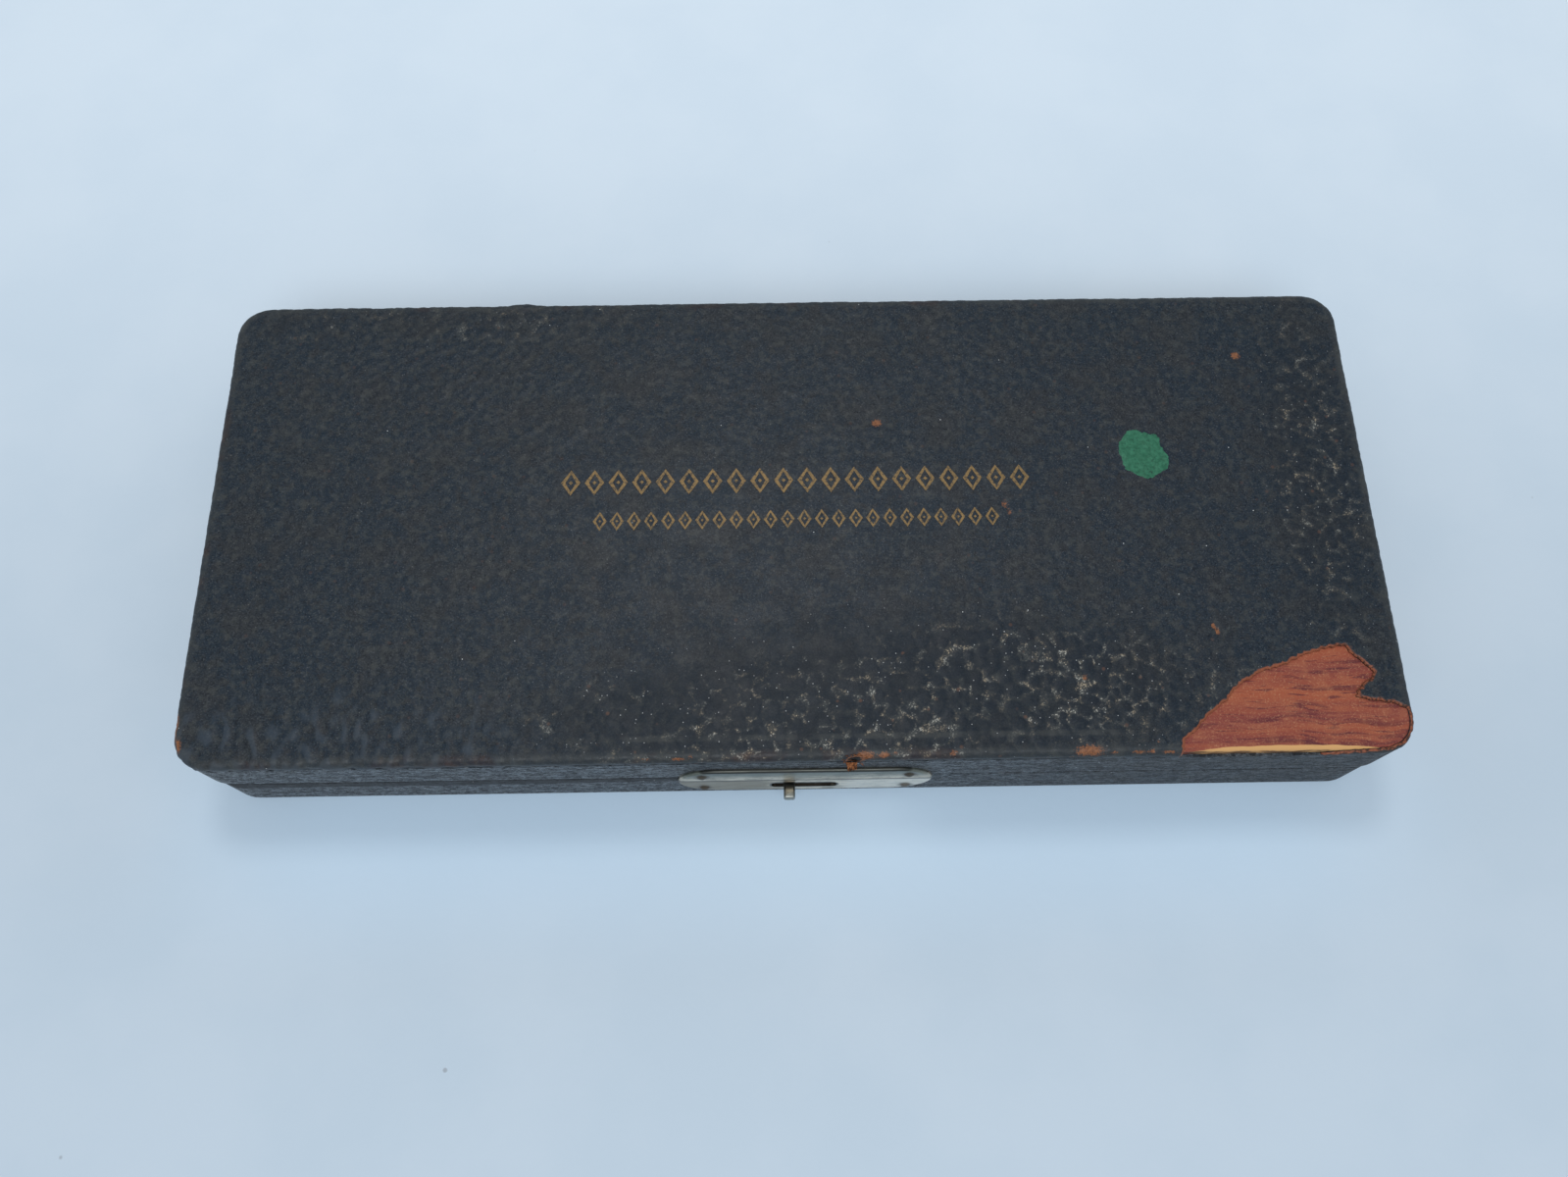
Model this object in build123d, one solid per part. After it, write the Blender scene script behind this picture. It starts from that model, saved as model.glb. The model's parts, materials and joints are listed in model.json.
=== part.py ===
"""A gauge box: two shallow wooden trays hinged at the back and covered in leatherette.

The base holds a velvet-covered block, cut to hold a depth gauge and its rods. The lid has a
velvet pad. A slide catch joins them in front.

Millimetres. X runs along the box, the front is at -Y, Z is up. The origin is the centre of
the underside.
"""

import os
from math import radians, sin, tan

from build123d import *

# Outside of the case
LENGTH = 240.0  # lid, over its cover
DEPTH = 103.0  # lid, over its cover
HEIGHT = 28.6
SEAM_GAP = 0.3  # between the rims of base and lid, at half the height
CORNER_R = 7.0  # corners in plan, over the cover
TOP_EDGE_R = 1.5
RIM_EDGE_R = 0.9
BASE_END_INSET = 0.6  # the lid overhangs the base by this at each end
BASE_FACE_INSET = 0.1  # and by this at front and back

# Walls
COVER = 0.6  # leatherette
WALL = 7.0  # wooden rails of the lid
BOARD = 3.0  # top and bottom boards
RABBET = 3.5  # how far the end rails run into the front and back rails
SKIRT = 1.2  # the top sheet ends this far below the rounded edge

# Torn corner of the lid's cover: distances from the right end and from the front
TEAR_START = (45.4, -1.0)
TEAR_OUTLINE = [(36.8, 9.2), (25.7, 17.0), (10.4, 21.5), (6.0, 15.3), (9.6, 10.6), (1.6, 7.0)]
TEAR_END = (3.2, -1.0)

# Hinges
HINGE_FROM_END = 45.0  # middle of each hinge, from the end of the box
HINGE_WIDTH = 19.0
HINGE_INSET = 2.2  # axis, from the back of the lid
KNUCKLE_R = 1.5
KNUCKLE_GAP = 0.2
HINGE_PIN_R = 0.7
HINGE_PIN_FIT = 0.05
LEAF = 0.8
LEAF_REACH = 4.9  # from the axis to the leaf's front edge
GAIN_FIT = 0.1  # round a leaf that is let into the rim
KNUCKLE_ROOM = 0.3
OPEN_ANGLE = 100.0
STOP_GAP = 0.15  # from each bevel to the plane where the two would meet

# Hinge screws
SCREW_SPACING = 12.4
SCREW_FROM_EDGE = 1.6  # from the leaf's front edge
SCREW_R = 0.6
SCREW_HEAD_R = 1.2
SCREW_HEAD = 0.6
SCREW_LENGTH = 5.0
SCREW_SLOT = 0.3
SCREW_FIT = 0.03

# Slide catch: plates, with heights measured from the seam
LATCH_X = 2.0  # middle of the catch
PLATE_LENGTH = 51.2
PLATE_HEIGHT = 16.1
PLATE_DROP = 8.95  # lower edge of the lower plate
PLATE = 0.8
PLATE_EDGE_R = 0.5
PIN_SPACING = 41.2
PIN_RISE = 3.7  # pins of the upper plate
PIN_DROP = 6.1  # pins of the lower plate
PIN_R = 0.55
PIN_HEAD_R = 1.1
PIN_HEAD = 0.5
PIN_LENGTH = 5.0
PIN_FIT = 0.03

# Slide catch: slot, stud and bolt
SLOT_LENGTH = 13.2
SLOT_HEIGHT = 3.2
SLOT_CORNER_R = 0.8
SLOT_DROP = 4.7  # middle of the slot, below the seam
SLOT_SHIFT = -0.2  # middle of the slot, from the middle of the catch
STUD_X = -1.2  # middle of the stud as the box stands closed
STUD_WIDTH = 2.3
STUD_HEIGHT = 2.6
STUD_REACH = 3.5  # beyond the plate
STUD_EDGE_R = 0.45
STUD_TIP_R = 0.2
TENON_R = 0.8
TENON_FIT = 0.02
BOLT = 0.8
BOLT_LENGTH = 12.8
BOLT_HEIGHT = 4.6
BOLT_CORNER_R = 0.6
BOLT_ROOM = 0.1  # between the bolt and what guides it
LUG_LENGTH = 4.2
LUG_HEIGHT = 1.6
LUG_OVERHANG = 1.0  # beyond the end of the bolt
GUIDE = 0.6
GUIDE_LIP = 0.8  # how far the guide holds the bolt's edges
GUIDE_FROM_KEEPER = 0.5

# Keeper
KEEPER = 0.8
KEEPER_GAP = 0.35  # behind the bolt
KEEPER_CLEAR = 0.8  # from the lug, along X
KEEPER_STEM = 2.8
KEEPER_LIP = 1.2
KEEPER_NOTCH_ROOM = 0.25  # above, below and beyond the lug
KEEPER_STEP_RISE = 1.9  # underside of the foot, above the seam
KEEPER_FOOT = 3.8
MORTISE_ROOM = 0.3

# Linings
LINING = 0.5
PAD = 2.2
PAD_EDGE_R = 1.0
PAD_ROOM = 0.3
LINING_FROM_RIM = 0.6

# Gauge block
BLOCK_ABOVE_RIM = 2.5
BLOCK_CORNER_R = 2.5
BLOCK_EDGE_R = 1.2
BLOCK_ROOM = 0.4  # between the two linings
BLOCK_FLOOR = 1.2  # wood left under the deepest recess

# Recess for the gauge: a bar across the block and a barrel along it
BAR_LENGTH = 65.0
BAR_WIDTH = 14.0
BAR_CORNER_R = 2.0
BAR_FROM_END = 10.0
BAR_FROM_BACK = 3.0
SLEEVE_R = 6.8
SLEEVE_LENGTH = 44.0
THIMBLE_R = 8.6
THIMBLE_LENGTH = 52.0
RATCHET_R = 4.4
RATCHET_LENGTH = 16.0
GAUGE_SCOOP_R = 15.0
GAUGE_SCOOP_LENGTH = 34.0
GAUGE_SCOOP_DEPTH = 9.0

# Grooves for the rods
RODS = 3
ROD_GROOVE_R = 3.0
ROD_GROOVE_LENGTH = 160.0
ROD_GROOVE_DEPTH = 6.5
ROD_PITCH = 9.5
ROD_FROM_FRONT = 7.0
ROD_FROM_END = 14.0
ROD_SCOOP_R = 12.0
ROD_SCOOP_DEPTH = 7.0
ROD_SCOOP_OVERLAP = 1.5

# Levels and places that follow
SEAM_Z = HEIGHT / 2
LID_RIM_Z = SEAM_Z + SEAM_GAP / 2
BASE_RIM_Z = SEAM_Z - SEAM_GAP / 2
INNER_LENGTH = LENGTH - 2 * (COVER + WALL)
INNER_DEPTH = DEPTH - 2 * (COVER + WALL)
LID_BOARD_Z = HEIGHT - COVER - BOARD
BASE_BOARD_Z = COVER + BOARD
COVER_JOINT = TOP_EDGE_R + SKIRT  # from the top or underside to the joint in the cover
LID_FRONT = -DEPTH / 2
BASE_FRONT = LID_FRONT + BASE_FACE_INSET
HINGE_X = LENGTH / 2 - HINGE_FROM_END
HINGE_Y = DEPTH / 2 - HINGE_INSET
HINGE_AXIS = (HINGE_Y, SEAM_Z)
BEYOND = 5.0  # how far a cutting tool runs past what it cuts

PLATE_BOTTOM_Z = SEAM_Z - PLATE_DROP
PIN_LID_Z = SEAM_Z + PIN_RISE
PIN_BASE_Z = SEAM_Z - PIN_DROP
SLOT_Z = SEAM_Z - SLOT_DROP
KEEPER_STEP_Z = SEAM_Z + KEEPER_STEP_RISE
BOLT_FRONT = BASE_FRONT + BOLT_ROOM
BOLT_BACK = BOLT_FRONT + BOLT
BOLT_RIGHT = STUD_X + BOLT_LENGTH / 2
LUG_RIGHT = BOLT_RIGHT + LUG_OVERHANG
SLOT_X = LATCH_X + SLOT_SHIFT
TRAVEL_LEFT = SLOT_LENGTH / 2 - (SLOT_X - STUD_X) - STUD_WIDTH / 2 - BOLT_ROOM
TRAVEL_RIGHT = SLOT_LENGTH / 2 + (SLOT_X - STUD_X) - STUD_WIDTH / 2 - BOLT_ROOM
KEEPER_FRONT = BOLT_BACK + KEEPER_GAP
KEEPER_BACK = KEEPER_FRONT + KEEPER
KEEPER_LEFT = LUG_RIGHT + KEEPER_CLEAR
NOTCH_RIGHT = LUG_RIGHT + TRAVEL_RIGHT + KEEPER_NOTCH_ROOM
KEEPER_RIGHT = NOTCH_RIGHT + KEEPER_STEM
NOTCH_HALF = LUG_HEIGHT / 2 + KEEPER_NOTCH_ROOM
KEEPER_BOTTOM = SLOT_Z - NOTCH_HALF - KEEPER_LIP

BLOCK_TOP = BASE_RIM_Z + BLOCK_ABOVE_RIM
BLOCK_LENGTH = INNER_LENGTH - 2 * (LINING + BLOCK_ROOM)
BLOCK_DEPTH = INNER_DEPTH - 2 * (LINING + BLOCK_ROOM)
RECESS_FLOOR = BASE_BOARD_Z + BLOCK_FLOOR + LINING
BARREL_Z = RECESS_FLOOR + THIMBLE_R
BAR_X = -BLOCK_LENGTH / 2 + BAR_FROM_END + BAR_WIDTH / 2
BAR_Y = BLOCK_DEPTH / 2 - BAR_FROM_BACK - BAR_LENGTH / 2


def box(x, y, z):
    """A block between two values on each axis."""
    middle = [(low + high) / 2 for low, high in (x, y, z)]
    return Pos(*middle) * Box(x[1] - x[0], y[1] - y[0], z[1] - z[0])


def about(middle, half):
    """The two values that lie half a size to each side of a middle."""
    return middle - half, middle + half


def slab(length, depth, corner, low, high):
    """An upright block with rounded corners in plan."""
    return Pos(0, 0, low) * extrude(RectangleRounded(length, depth, corner), high - low)


def round_edge(solid, radius, top):
    """Round the whole edge of a block's top or bottom face."""
    face = solid.faces().sort_by(Axis.Z)[-1 if top else 0]
    return fillet(face.edges(), radius)


def along_x(sketch, x_from, x_to):
    """Extrude a sketch drawn in Y and Z from one x to another."""
    return extrude(Plane.YZ.offset(x_from) * sketch, x_to - x_from)


def back_groove(margin):
    """The V along the back that lets the lid swing, its faces set back by the margin."""
    half = radians(OPEN_ANGLE / 2)
    y, z = HINGE_AXIS
    apex = y - margin / sin(half)
    back = DEPTH / 2 + BEYOND
    rise = (back - apex) * tan(half)
    return along_x(Polygon((apex, z), (back, z - rise), (back, z + rise), align=None), -LENGTH, LENGTH)


def half_case(length, depth, low, high, top_outwards):
    """One half of the case: its full outline, and the wood inside its cover."""
    outline = slab(length, depth, CORNER_R, low, high)
    outline = round_edge(outline, TOP_EDGE_R, top_outwards)
    outline = round_edge(outline, RIM_EDGE_R, not top_outwards)
    wood = slab(length - 2 * COVER, depth - 2 * COVER, CORNER_R - COVER, low + COVER, high - COVER)
    wood = round_edge(wood, TOP_EDGE_R - COVER, top_outwards)
    wood = round_edge(wood, RIM_EDGE_R - COVER, not top_outwards)
    return outline - back_groove(STOP_GAP), wood - back_groove(STOP_GAP + COVER)


def well(low, high):
    """The space inside the rails, between two levels."""
    return box(about(0, INNER_LENGTH / 2), about(0, INNER_DEPTH / 2), (low, high))


def between(solid, low, high):
    """The part of a solid between two levels."""
    return solid & box(about(0, LENGTH), about(0, LENGTH), (low, high))


def rails(wood, low, high):
    """Front, back, left and right rails, the end rails let into rabbets in the long ones."""
    ring = between(wood, low, high) - well(low, high)
    end_reach = about(0, INNER_DEPTH / 2 + RABBET)
    left = ring & box((-LENGTH, -INNER_LENGTH / 2), end_reach, (low, high))
    right = ring & box((INNER_LENGTH / 2, LENGTH), end_reach, (low, high))
    long_rails = ring - left - right
    front = long_rails & box(about(0, LENGTH), (-LENGTH, 0), (low, high))
    back = long_rails & box(about(0, LENGTH), (0, LENGTH), (low, high))
    return {"front": front, "back": back, "left": left, "right": right}


def tear():
    """The piece that is missing from the cover at the lid's front right corner."""

    def place(point):
        return (LENGTH / 2 - point[0], -DEPTH / 2 + point[1])

    points = [place(point) for point in (TEAR_START, *TEAR_OUTLINE, TEAR_END)]
    edge = Spline(*points)
    outline = make_face(edge + Line(points[-1], points[0]))
    return Pos(0, 0, HEIGHT - COVER_JOINT - BEYOND) * extrude(outline, COVER_JOINT + 2 * BEYOND)


def hinge_span(number):
    """Start and end of one of the three knuckles, from the hinge's middle."""
    knuckle = (HINGE_WIDTH - 2 * KNUCKLE_GAP) / 3
    start = -HINGE_WIDTH / 2 + number * (knuckle + KNUCKLE_GAP)
    return start, start + knuckle


def screw_places(middle):
    """The two screws of one leaf, in plan."""
    y = HINGE_Y - LEAF_REACH + SCREW_FROM_EDGE
    return [(middle + side * SCREW_SPACING / 2, y) for side in (-1, 1)]


def flip(solid):
    """Turn a piece of the base's hinge over the seam, for the lid."""
    return mirror(solid, about=Plane.XY.offset(SEAM_Z))


def hinge_leaf(middle, knuckles):
    """A leaf let into the base's rim, with its knuckles, drilled and countersunk."""
    top = BASE_RIM_Z
    flat = box(about(middle, HINGE_WIDTH / 2), (HINGE_Y - LEAF_REACH, HINGE_Y), (top - LEAF, top))
    tube = Pos(middle, HINGE_Y, SEAM_Z) * Rot(0, 90, 0) * Cylinder(KNUCKLE_R + KNUCKLE_GAP, HINGE_WIDTH)
    leaf = flat - tube
    for number in knuckles:
        start, end = hinge_span(number)
        ring = Pos(HINGE_Y, SEAM_Z) * Circle(KNUCKLE_R)
        root = (HINGE_Y - KNUCKLE_R - KNUCKLE_GAP, HINGE_Y)
        leaf += along_x(ring, middle + start, middle + end)
        leaf += box((middle + start, middle + end), root, (top - LEAF, top))
    bore = Pos(HINGE_Y, SEAM_Z) * Circle(HINGE_PIN_R + HINGE_PIN_FIT)
    leaf -= along_x(bore, middle - HINGE_WIDTH, middle + HINGE_WIDTH)
    for x, y in screw_places(middle):
        leaf -= Pos(x, y, top) * screw_blank(SCREW_FIT)
    return leaf


def screw_blank(fit):
    """A countersunk screw, head up at z = 0, grown by the fit."""
    shank, head = SCREW_R + fit, SCREW_HEAD_R + fit
    profile = Polyline(
        (0, 0),
        (head, 0),
        (shank, -SCREW_HEAD),
        (shank, -SCREW_LENGTH + SCREW_R),
        (0, -SCREW_LENGTH - fit),
        (0, 0),
    )
    return revolve(make_face(Plane.XZ * profile), Axis.Z)


def hinge_screws():
    """The four screws of the base's leaves."""
    screw = screw_blank(0) - Box(3 * SCREW_HEAD_R, SCREW_SLOT, SCREW_SLOT * 2)
    places = screw_places(-HINGE_X) + screw_places(HINGE_X)
    return Compound([Pos(x, y, BASE_RIM_Z) * screw for x, y in places])


def hinge_gains():
    """What both hinges take out of the base's rim: leaf gains, knuckle pockets, screw holes."""
    cut = []
    half = HINGE_WIDTH / 2 + GAIN_FIT
    pocket = Pos(HINGE_Y, SEAM_Z) * Circle(KNUCKLE_R + KNUCKLE_ROOM)
    for middle in (-HINGE_X, HINGE_X):
        front = HINGE_Y - LEAF_REACH - GAIN_FIT
        cut.append(box(about(middle, half), (front, HINGE_Y), (BASE_RIM_Z - LEAF, SEAM_Z)))
        cut.append(along_x(pocket, *about(middle, half + KNUCKLE_ROOM)))
        for x, y in screw_places(middle):
            cut.append(Pos(x, y, BASE_RIM_Z) * screw_blank(SCREW_FIT))
    return cut


def hinge_pin(middle):
    """A pin through the three knuckles."""
    pin = Pos(HINGE_Y, SEAM_Z) * Circle(HINGE_PIN_R)
    return along_x(pin, *about(middle, HINGE_WIDTH / 2))


def latch_plate(front):
    """The catch's whole oval plate, standing on the face at this y."""
    outline = Pos(LATCH_X, PLATE_BOTTOM_Z + PLATE_HEIGHT / 2) * SlotOverall(PLATE_LENGTH, PLATE_HEIGHT)
    plate = extrude(Plane.XZ.offset(-front) * outline, PLATE)
    return fillet(plate.faces().sort_by(Axis.Y)[0].edges(), PLATE_EDGE_R)


def pin_places(height):
    """The two pins of one plate, as x and z."""
    return [(LATCH_X + side * PIN_SPACING / 2, height) for side in (-1, 1)]


def latch_pin(fit):
    """An escutcheon pin along Y: a domed head in front of y = 0 and its shank behind."""
    dome_r = (PIN_HEAD_R**2 + PIN_HEAD**2) / (2 * PIN_HEAD)
    ball = Pos(0, 0, PIN_HEAD - dome_r) * Sphere(dome_r)
    dome = ball & (Pos(0, 0, PIN_HEAD / 2) * Cylinder(PIN_HEAD_R, PIN_HEAD))
    shank = Pos(0, 0, -PIN_LENGTH / 2) * Cylinder(PIN_R + fit, PIN_LENGTH)
    return Rot(90, 0, 0) * (dome + shank)


def latch_pins(front, height):
    """The two pins of one plate, their heads on its face."""
    return Compound([Pos(x, front - PLATE, z) * latch_pin(0) for x, z in pin_places(height)])


def pin_holes(front, height):
    """Holes for the two pins through plate, cover and wood."""
    return [Pos(x, front - PLATE, z) * latch_pin(PIN_FIT) for x, z in pin_places(height)]


def slot():
    """The catch's slot as a solid, through the lower plate."""
    outline = Pos(SLOT_X, SLOT_Z) * RectangleRounded(SLOT_LENGTH, SLOT_HEIGHT, SLOT_CORNER_R)
    return extrude(Plane.XZ.offset(-BASE_FRONT) * outline, BEYOND)


def slide_bolt():
    """The sliding plate with the lug behind it, drilled for the stud's tenon."""
    plate = box(
        (BOLT_RIGHT - BOLT_LENGTH, BOLT_RIGHT), (BOLT_FRONT, BOLT_BACK), about(SLOT_Z, BOLT_HEIGHT / 2)
    )
    plate = fillet(plate.edges().filter_by(Axis.Y), BOLT_CORNER_R)
    lug = box(
        (LUG_RIGHT - LUG_LENGTH, LUG_RIGHT), (BOLT_BACK, KEEPER_BACK), about(SLOT_Z, LUG_HEIGHT / 2)
    )
    return plate + lug - tenon(TENON_FIT)


def tenon(fit):
    """The round end of the stud, riveted through the bolt."""
    hole = Pos(STUD_X, SLOT_Z) * Circle(TENON_R + fit)
    return extrude(Plane.XZ.offset(-BOLT_BACK) * hole, BOLT)


def thumb_stud():
    """The stud from the bolt out through the slot, its edges rounded."""
    tip = BASE_FRONT - PLATE - STUD_REACH
    bar = box(about(STUD_X, STUD_WIDTH / 2), (tip, BOLT_FRONT), about(SLOT_Z, STUD_HEIGHT / 2))
    bar = fillet(bar.edges().filter_by(Axis.Y), STUD_EDGE_R)
    bar = fillet(bar.faces().sort_by(Axis.Y)[0].edges(), STUD_TIP_R)
    return bar + tenon(0)


def latch_guide():
    """A channel behind the lower plate: two lipped rails joined at the left end."""
    inner = BOLT_HEIGHT / 2 + BOLT_ROOM
    window = BOLT_HEIGHT / 2 - GUIDE_LIP
    left = BOLT_RIGHT - BOLT_LENGTH - TRAVEL_LEFT - BOLT_ROOM
    right = KEEPER_LEFT - GUIDE_FROM_KEEPER
    back = BOLT_BACK + BOLT_ROOM
    body = box((left - GUIDE, right), (BASE_FRONT, back + GUIDE), about(SLOT_Z, inner + GUIDE))
    body -= box((left, right + BEYOND), (BASE_FRONT - BEYOND, back), about(SLOT_Z, inner))
    return body - box((left, right + BEYOND), (back, back + BEYOND), about(SLOT_Z, window))


def latch_mortise():
    """Room in the base's front for the guide and the bolt, for the keeper, and the keeper's way in."""
    guide = latch_guide().bounding_box()
    left, bottom, top = guide.min.X - MORTISE_ROOM, guide.min.Z - MORTISE_ROOM, guide.max.Z + MORTISE_ROOM
    right, back = KEEPER_RIGHT + MORTISE_ROOM, KEEPER_BACK + MORTISE_ROOM
    bolt_room = box((left, right), (BASE_FRONT, back), (KEEPER_BOTTOM - MORTISE_ROOM, top))
    guide_room = box((left, guide.max.X + MORTISE_ROOM), (BASE_FRONT, back), (bottom, top))
    way_in = box((KEEPER_LEFT - MORTISE_ROOM, right), (KEEPER_FRONT - MORTISE_ROOM, back), (SLOT_Z, SEAM_Z))
    return [bolt_room, guide_room, way_in]


def latch_keeper():
    """A stepped hook: a foot on the upper plate, and a tongue with a notch open to the left."""
    step = KEEPER_STEP_Z
    profile = Polyline(
        (LID_FRONT, step),
        (LID_FRONT, step + KEEPER_FOOT),
        (LID_FRONT + KEEPER, step + KEEPER_FOOT),
        (LID_FRONT + KEEPER, step + KEEPER),
        (KEEPER_BACK, step + KEEPER),
        (KEEPER_BACK, KEEPER_BOTTOM),
        (KEEPER_FRONT, KEEPER_BOTTOM),
        (KEEPER_FRONT, step),
        (LID_FRONT, step),
    )
    hook = along_x(make_face(profile), KEEPER_LEFT, KEEPER_RIGHT)
    through = (KEEPER_FRONT - BEYOND, KEEPER_BACK + BEYOND)
    return hook - box((KEEPER_LEFT - BEYOND, NOTCH_RIGHT), through, about(SLOT_Z, NOTCH_HALF))


def keeper_recess():
    """Room in the lid's front for the keeper's foot and tongue."""
    return box(
        (KEEPER_LEFT - MORTISE_ROOM, KEEPER_RIGHT + MORTISE_ROOM),
        (LID_FRONT, KEEPER_BACK + MORTISE_ROOM),
        (SEAM_Z, KEEPER_STEP_Z + KEEPER_FOOT + MORTISE_ROOM),
    )


def trough(radius, x_from, length, y, axis_z, grow):
    """A round-bottomed groove along X, open at the top, grown by the cloth's thickness."""
    wide = radius + grow
    top = BLOCK_TOP + BEYOND
    throat = Pos(y, (axis_z + top) / 2) * Rectangle(2 * wide, top - axis_z)
    section = Pos(y, axis_z) * Circle(wide) + throat
    return along_x(section, x_from - grow, x_from + length + grow)


def scoop(radius, x, reach, depth, grow):
    """A hollow across the block for the fingers: part of a cylinder along Y, from one y to another."""
    hollow = Pos(x, BLOCK_TOP - depth + radius) * Circle(radius + grow)
    start, end = reach
    return extrude(Plane.XZ.offset(-end - grow) * hollow, end - start + 2 * grow)


def gauge_recess(grow):
    """The T-shaped recess: the bar, then sleeve, thimble and ratchet in line, and a scoop."""
    bar = Pos(BAR_X, BAR_Y, RECESS_FLOOR - grow) * extrude(
        RectangleRounded(BAR_WIDTH + 2 * grow, BAR_LENGTH + 2 * grow, BAR_CORNER_R + grow), BLOCK_TOP
    )
    sleeve_x = BAR_X + BAR_WIDTH / 2
    thimble_x = sleeve_x + SLEEVE_LENGTH
    ratchet_x = thimble_x + THIMBLE_LENGTH
    reach = about(BAR_Y, GAUGE_SCOOP_LENGTH / 2)
    return [
        bar,
        trough(SLEEVE_R, sleeve_x, SLEEVE_LENGTH, BAR_Y, BARREL_Z, grow),
        trough(THIMBLE_R, thimble_x, THIMBLE_LENGTH, BAR_Y, BARREL_Z, grow),
        trough(RATCHET_R, ratchet_x, RATCHET_LENGTH, BAR_Y, BARREL_Z, grow),
        scoop(GAUGE_SCOOP_R, thimble_x + THIMBLE_LENGTH / 2, reach, GAUGE_SCOOP_DEPTH, grow),
    ]


def rod_recess(grow):
    """Parallel grooves for the rods, and a scoop across them."""
    first_y = -BLOCK_DEPTH / 2 + ROD_FROM_FRONT
    x_from = BLOCK_LENGTH / 2 - ROD_FROM_END - ROD_GROOVE_LENGTH
    axis_z = BLOCK_TOP - ROD_GROOVE_DEPTH + ROD_GROOVE_R
    rows = [first_y + number * ROD_PITCH for number in range(RODS)]
    cuts = [trough(ROD_GROOVE_R, x_from, ROD_GROOVE_LENGTH, y, axis_z, grow) for y in rows]
    side = ROD_GROOVE_R + ROD_SCOOP_OVERLAP
    reach = (rows[0] - side, rows[-1] + side)
    cuts.append(scoop(ROD_SCOOP_R, x_from + ROD_GROOVE_LENGTH / 2, reach, ROD_SCOOP_DEPTH, grow))
    return cuts


def block_form(grow):
    """The gauge block, its outside smaller and its recesses larger by the given thickness."""
    length, depth = BLOCK_LENGTH - 2 * grow, BLOCK_DEPTH - 2 * grow
    block = slab(length, depth, BLOCK_CORNER_R - grow, BASE_BOARD_Z, BLOCK_TOP - grow)
    block = round_edge(block, BLOCK_EDGE_R - grow, True)
    return block - gauge_recess(grow) - rod_recess(grow)


def lid_wall_lining():
    """Cloth on the lid's inner walls."""
    low, high = LID_RIM_Z + COVER + LINING_FROM_RIM, LID_BOARD_Z
    length, depth = INNER_LENGTH / 2 - LINING, INNER_DEPTH / 2 - LINING
    return well(low, high) - box(about(0, length), about(0, depth), (low, high))


def lid_pad():
    """The velvet pad under the lid's board, its lower edge rounded."""
    inset = 2 * (LINING + PAD_ROOM)
    pad = slab(INNER_LENGTH - inset, INNER_DEPTH - inset, BLOCK_CORNER_R, LID_BOARD_Z - PAD, LID_BOARD_Z)
    return round_edge(pad, PAD_EDGE_R, False)


def build_lid(nodes):
    """Wood, cover, linings, hinge leaves and catch of the lid."""
    outline, wood = half_case(LENGTH, DEPTH, LID_RIM_Z, HEIGHT, True)
    gains = [flip(cut) for cut in hinge_gains()]
    cuts = [*gains, keeper_recess(), *pin_holes(LID_FRONT, PIN_LID_Z)]
    nodes["lid_top_board"] = between(wood, LID_BOARD_Z, HEIGHT)
    for side, rail in rails(wood, LID_RIM_Z, LID_BOARD_Z).items():
        nodes[f"lid_{side}_rail"] = rail - cuts
    joint = HEIGHT - COVER_JOINT
    cover = outline - wood - well(LID_RIM_Z - BEYOND, LID_BOARD_Z)
    nodes["lid_top_cover"] = between(cover, joint, HEIGHT) - tear()
    nodes["lid_side_cover"] = between(cover, LID_RIM_Z, joint) - cuts
    nodes["lid_wall_lining"] = lid_wall_lining()
    nodes["lid_pad"] = lid_pad()
    plate = between(latch_plate(LID_FRONT), LID_RIM_Z, HEIGHT)
    nodes["latch_lid_plate"] = plate - pin_holes(LID_FRONT, PIN_LID_Z)
    nodes["latch_keeper"] = latch_keeper()
    nodes["latch_lid_pins"] = latch_pins(LID_FRONT, PIN_LID_Z)
    for side, middle in (("left", -HINGE_X), ("right", HINGE_X)):
        nodes[f"hinge_{side}_lid_leaf"] = flip(hinge_leaf(middle, (1,)))
    nodes["hinge_lid_screws"] = flip(hinge_screws())


def build_base(nodes):
    """Wood, cover, gauge block, hinge leaves and catch of the base."""
    length = LENGTH - 2 * BASE_END_INSET
    depth = DEPTH - 2 * BASE_FACE_INSET
    outline, wood = half_case(length, depth, 0, BASE_RIM_Z, False)
    cuts = [*hinge_gains(), *latch_mortise(), *pin_holes(BASE_FRONT, PIN_BASE_Z)]
    nodes["base_bottom_board"] = between(wood, 0, BASE_BOARD_Z)
    for side, rail in rails(wood, BASE_BOARD_Z, BASE_RIM_Z).items():
        nodes[f"base_{side}_rail"] = rail - cuts
    cover = outline - wood - well(BASE_BOARD_Z, BASE_RIM_Z + BEYOND)
    nodes["base_bottom_cover"] = between(cover, 0, COVER_JOINT)
    nodes["base_side_cover"] = between(cover, COVER_JOINT, BASE_RIM_Z) - cuts
    nodes["gauge_block"] = block_form(LINING)
    nodes["gauge_block_lining"] = block_form(0) - nodes["gauge_block"]
    plate = between(latch_plate(BASE_FRONT), 0, BASE_RIM_Z)
    nodes["latch_base_plate"] = plate - slot() - pin_holes(BASE_FRONT, PIN_BASE_Z)
    nodes["latch_guide"] = latch_guide()
    nodes["latch_base_pins"] = latch_pins(BASE_FRONT, PIN_BASE_Z)
    for side, middle in (("left", -HINGE_X), ("right", HINGE_X)):
        nodes[f"hinge_{side}_base_leaf"] = hinge_leaf(middle, (0, 2))
        nodes[f"hinge_{side}_pin"] = hinge_pin(middle)
    nodes["hinge_base_screws"] = hinge_screws()


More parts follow.
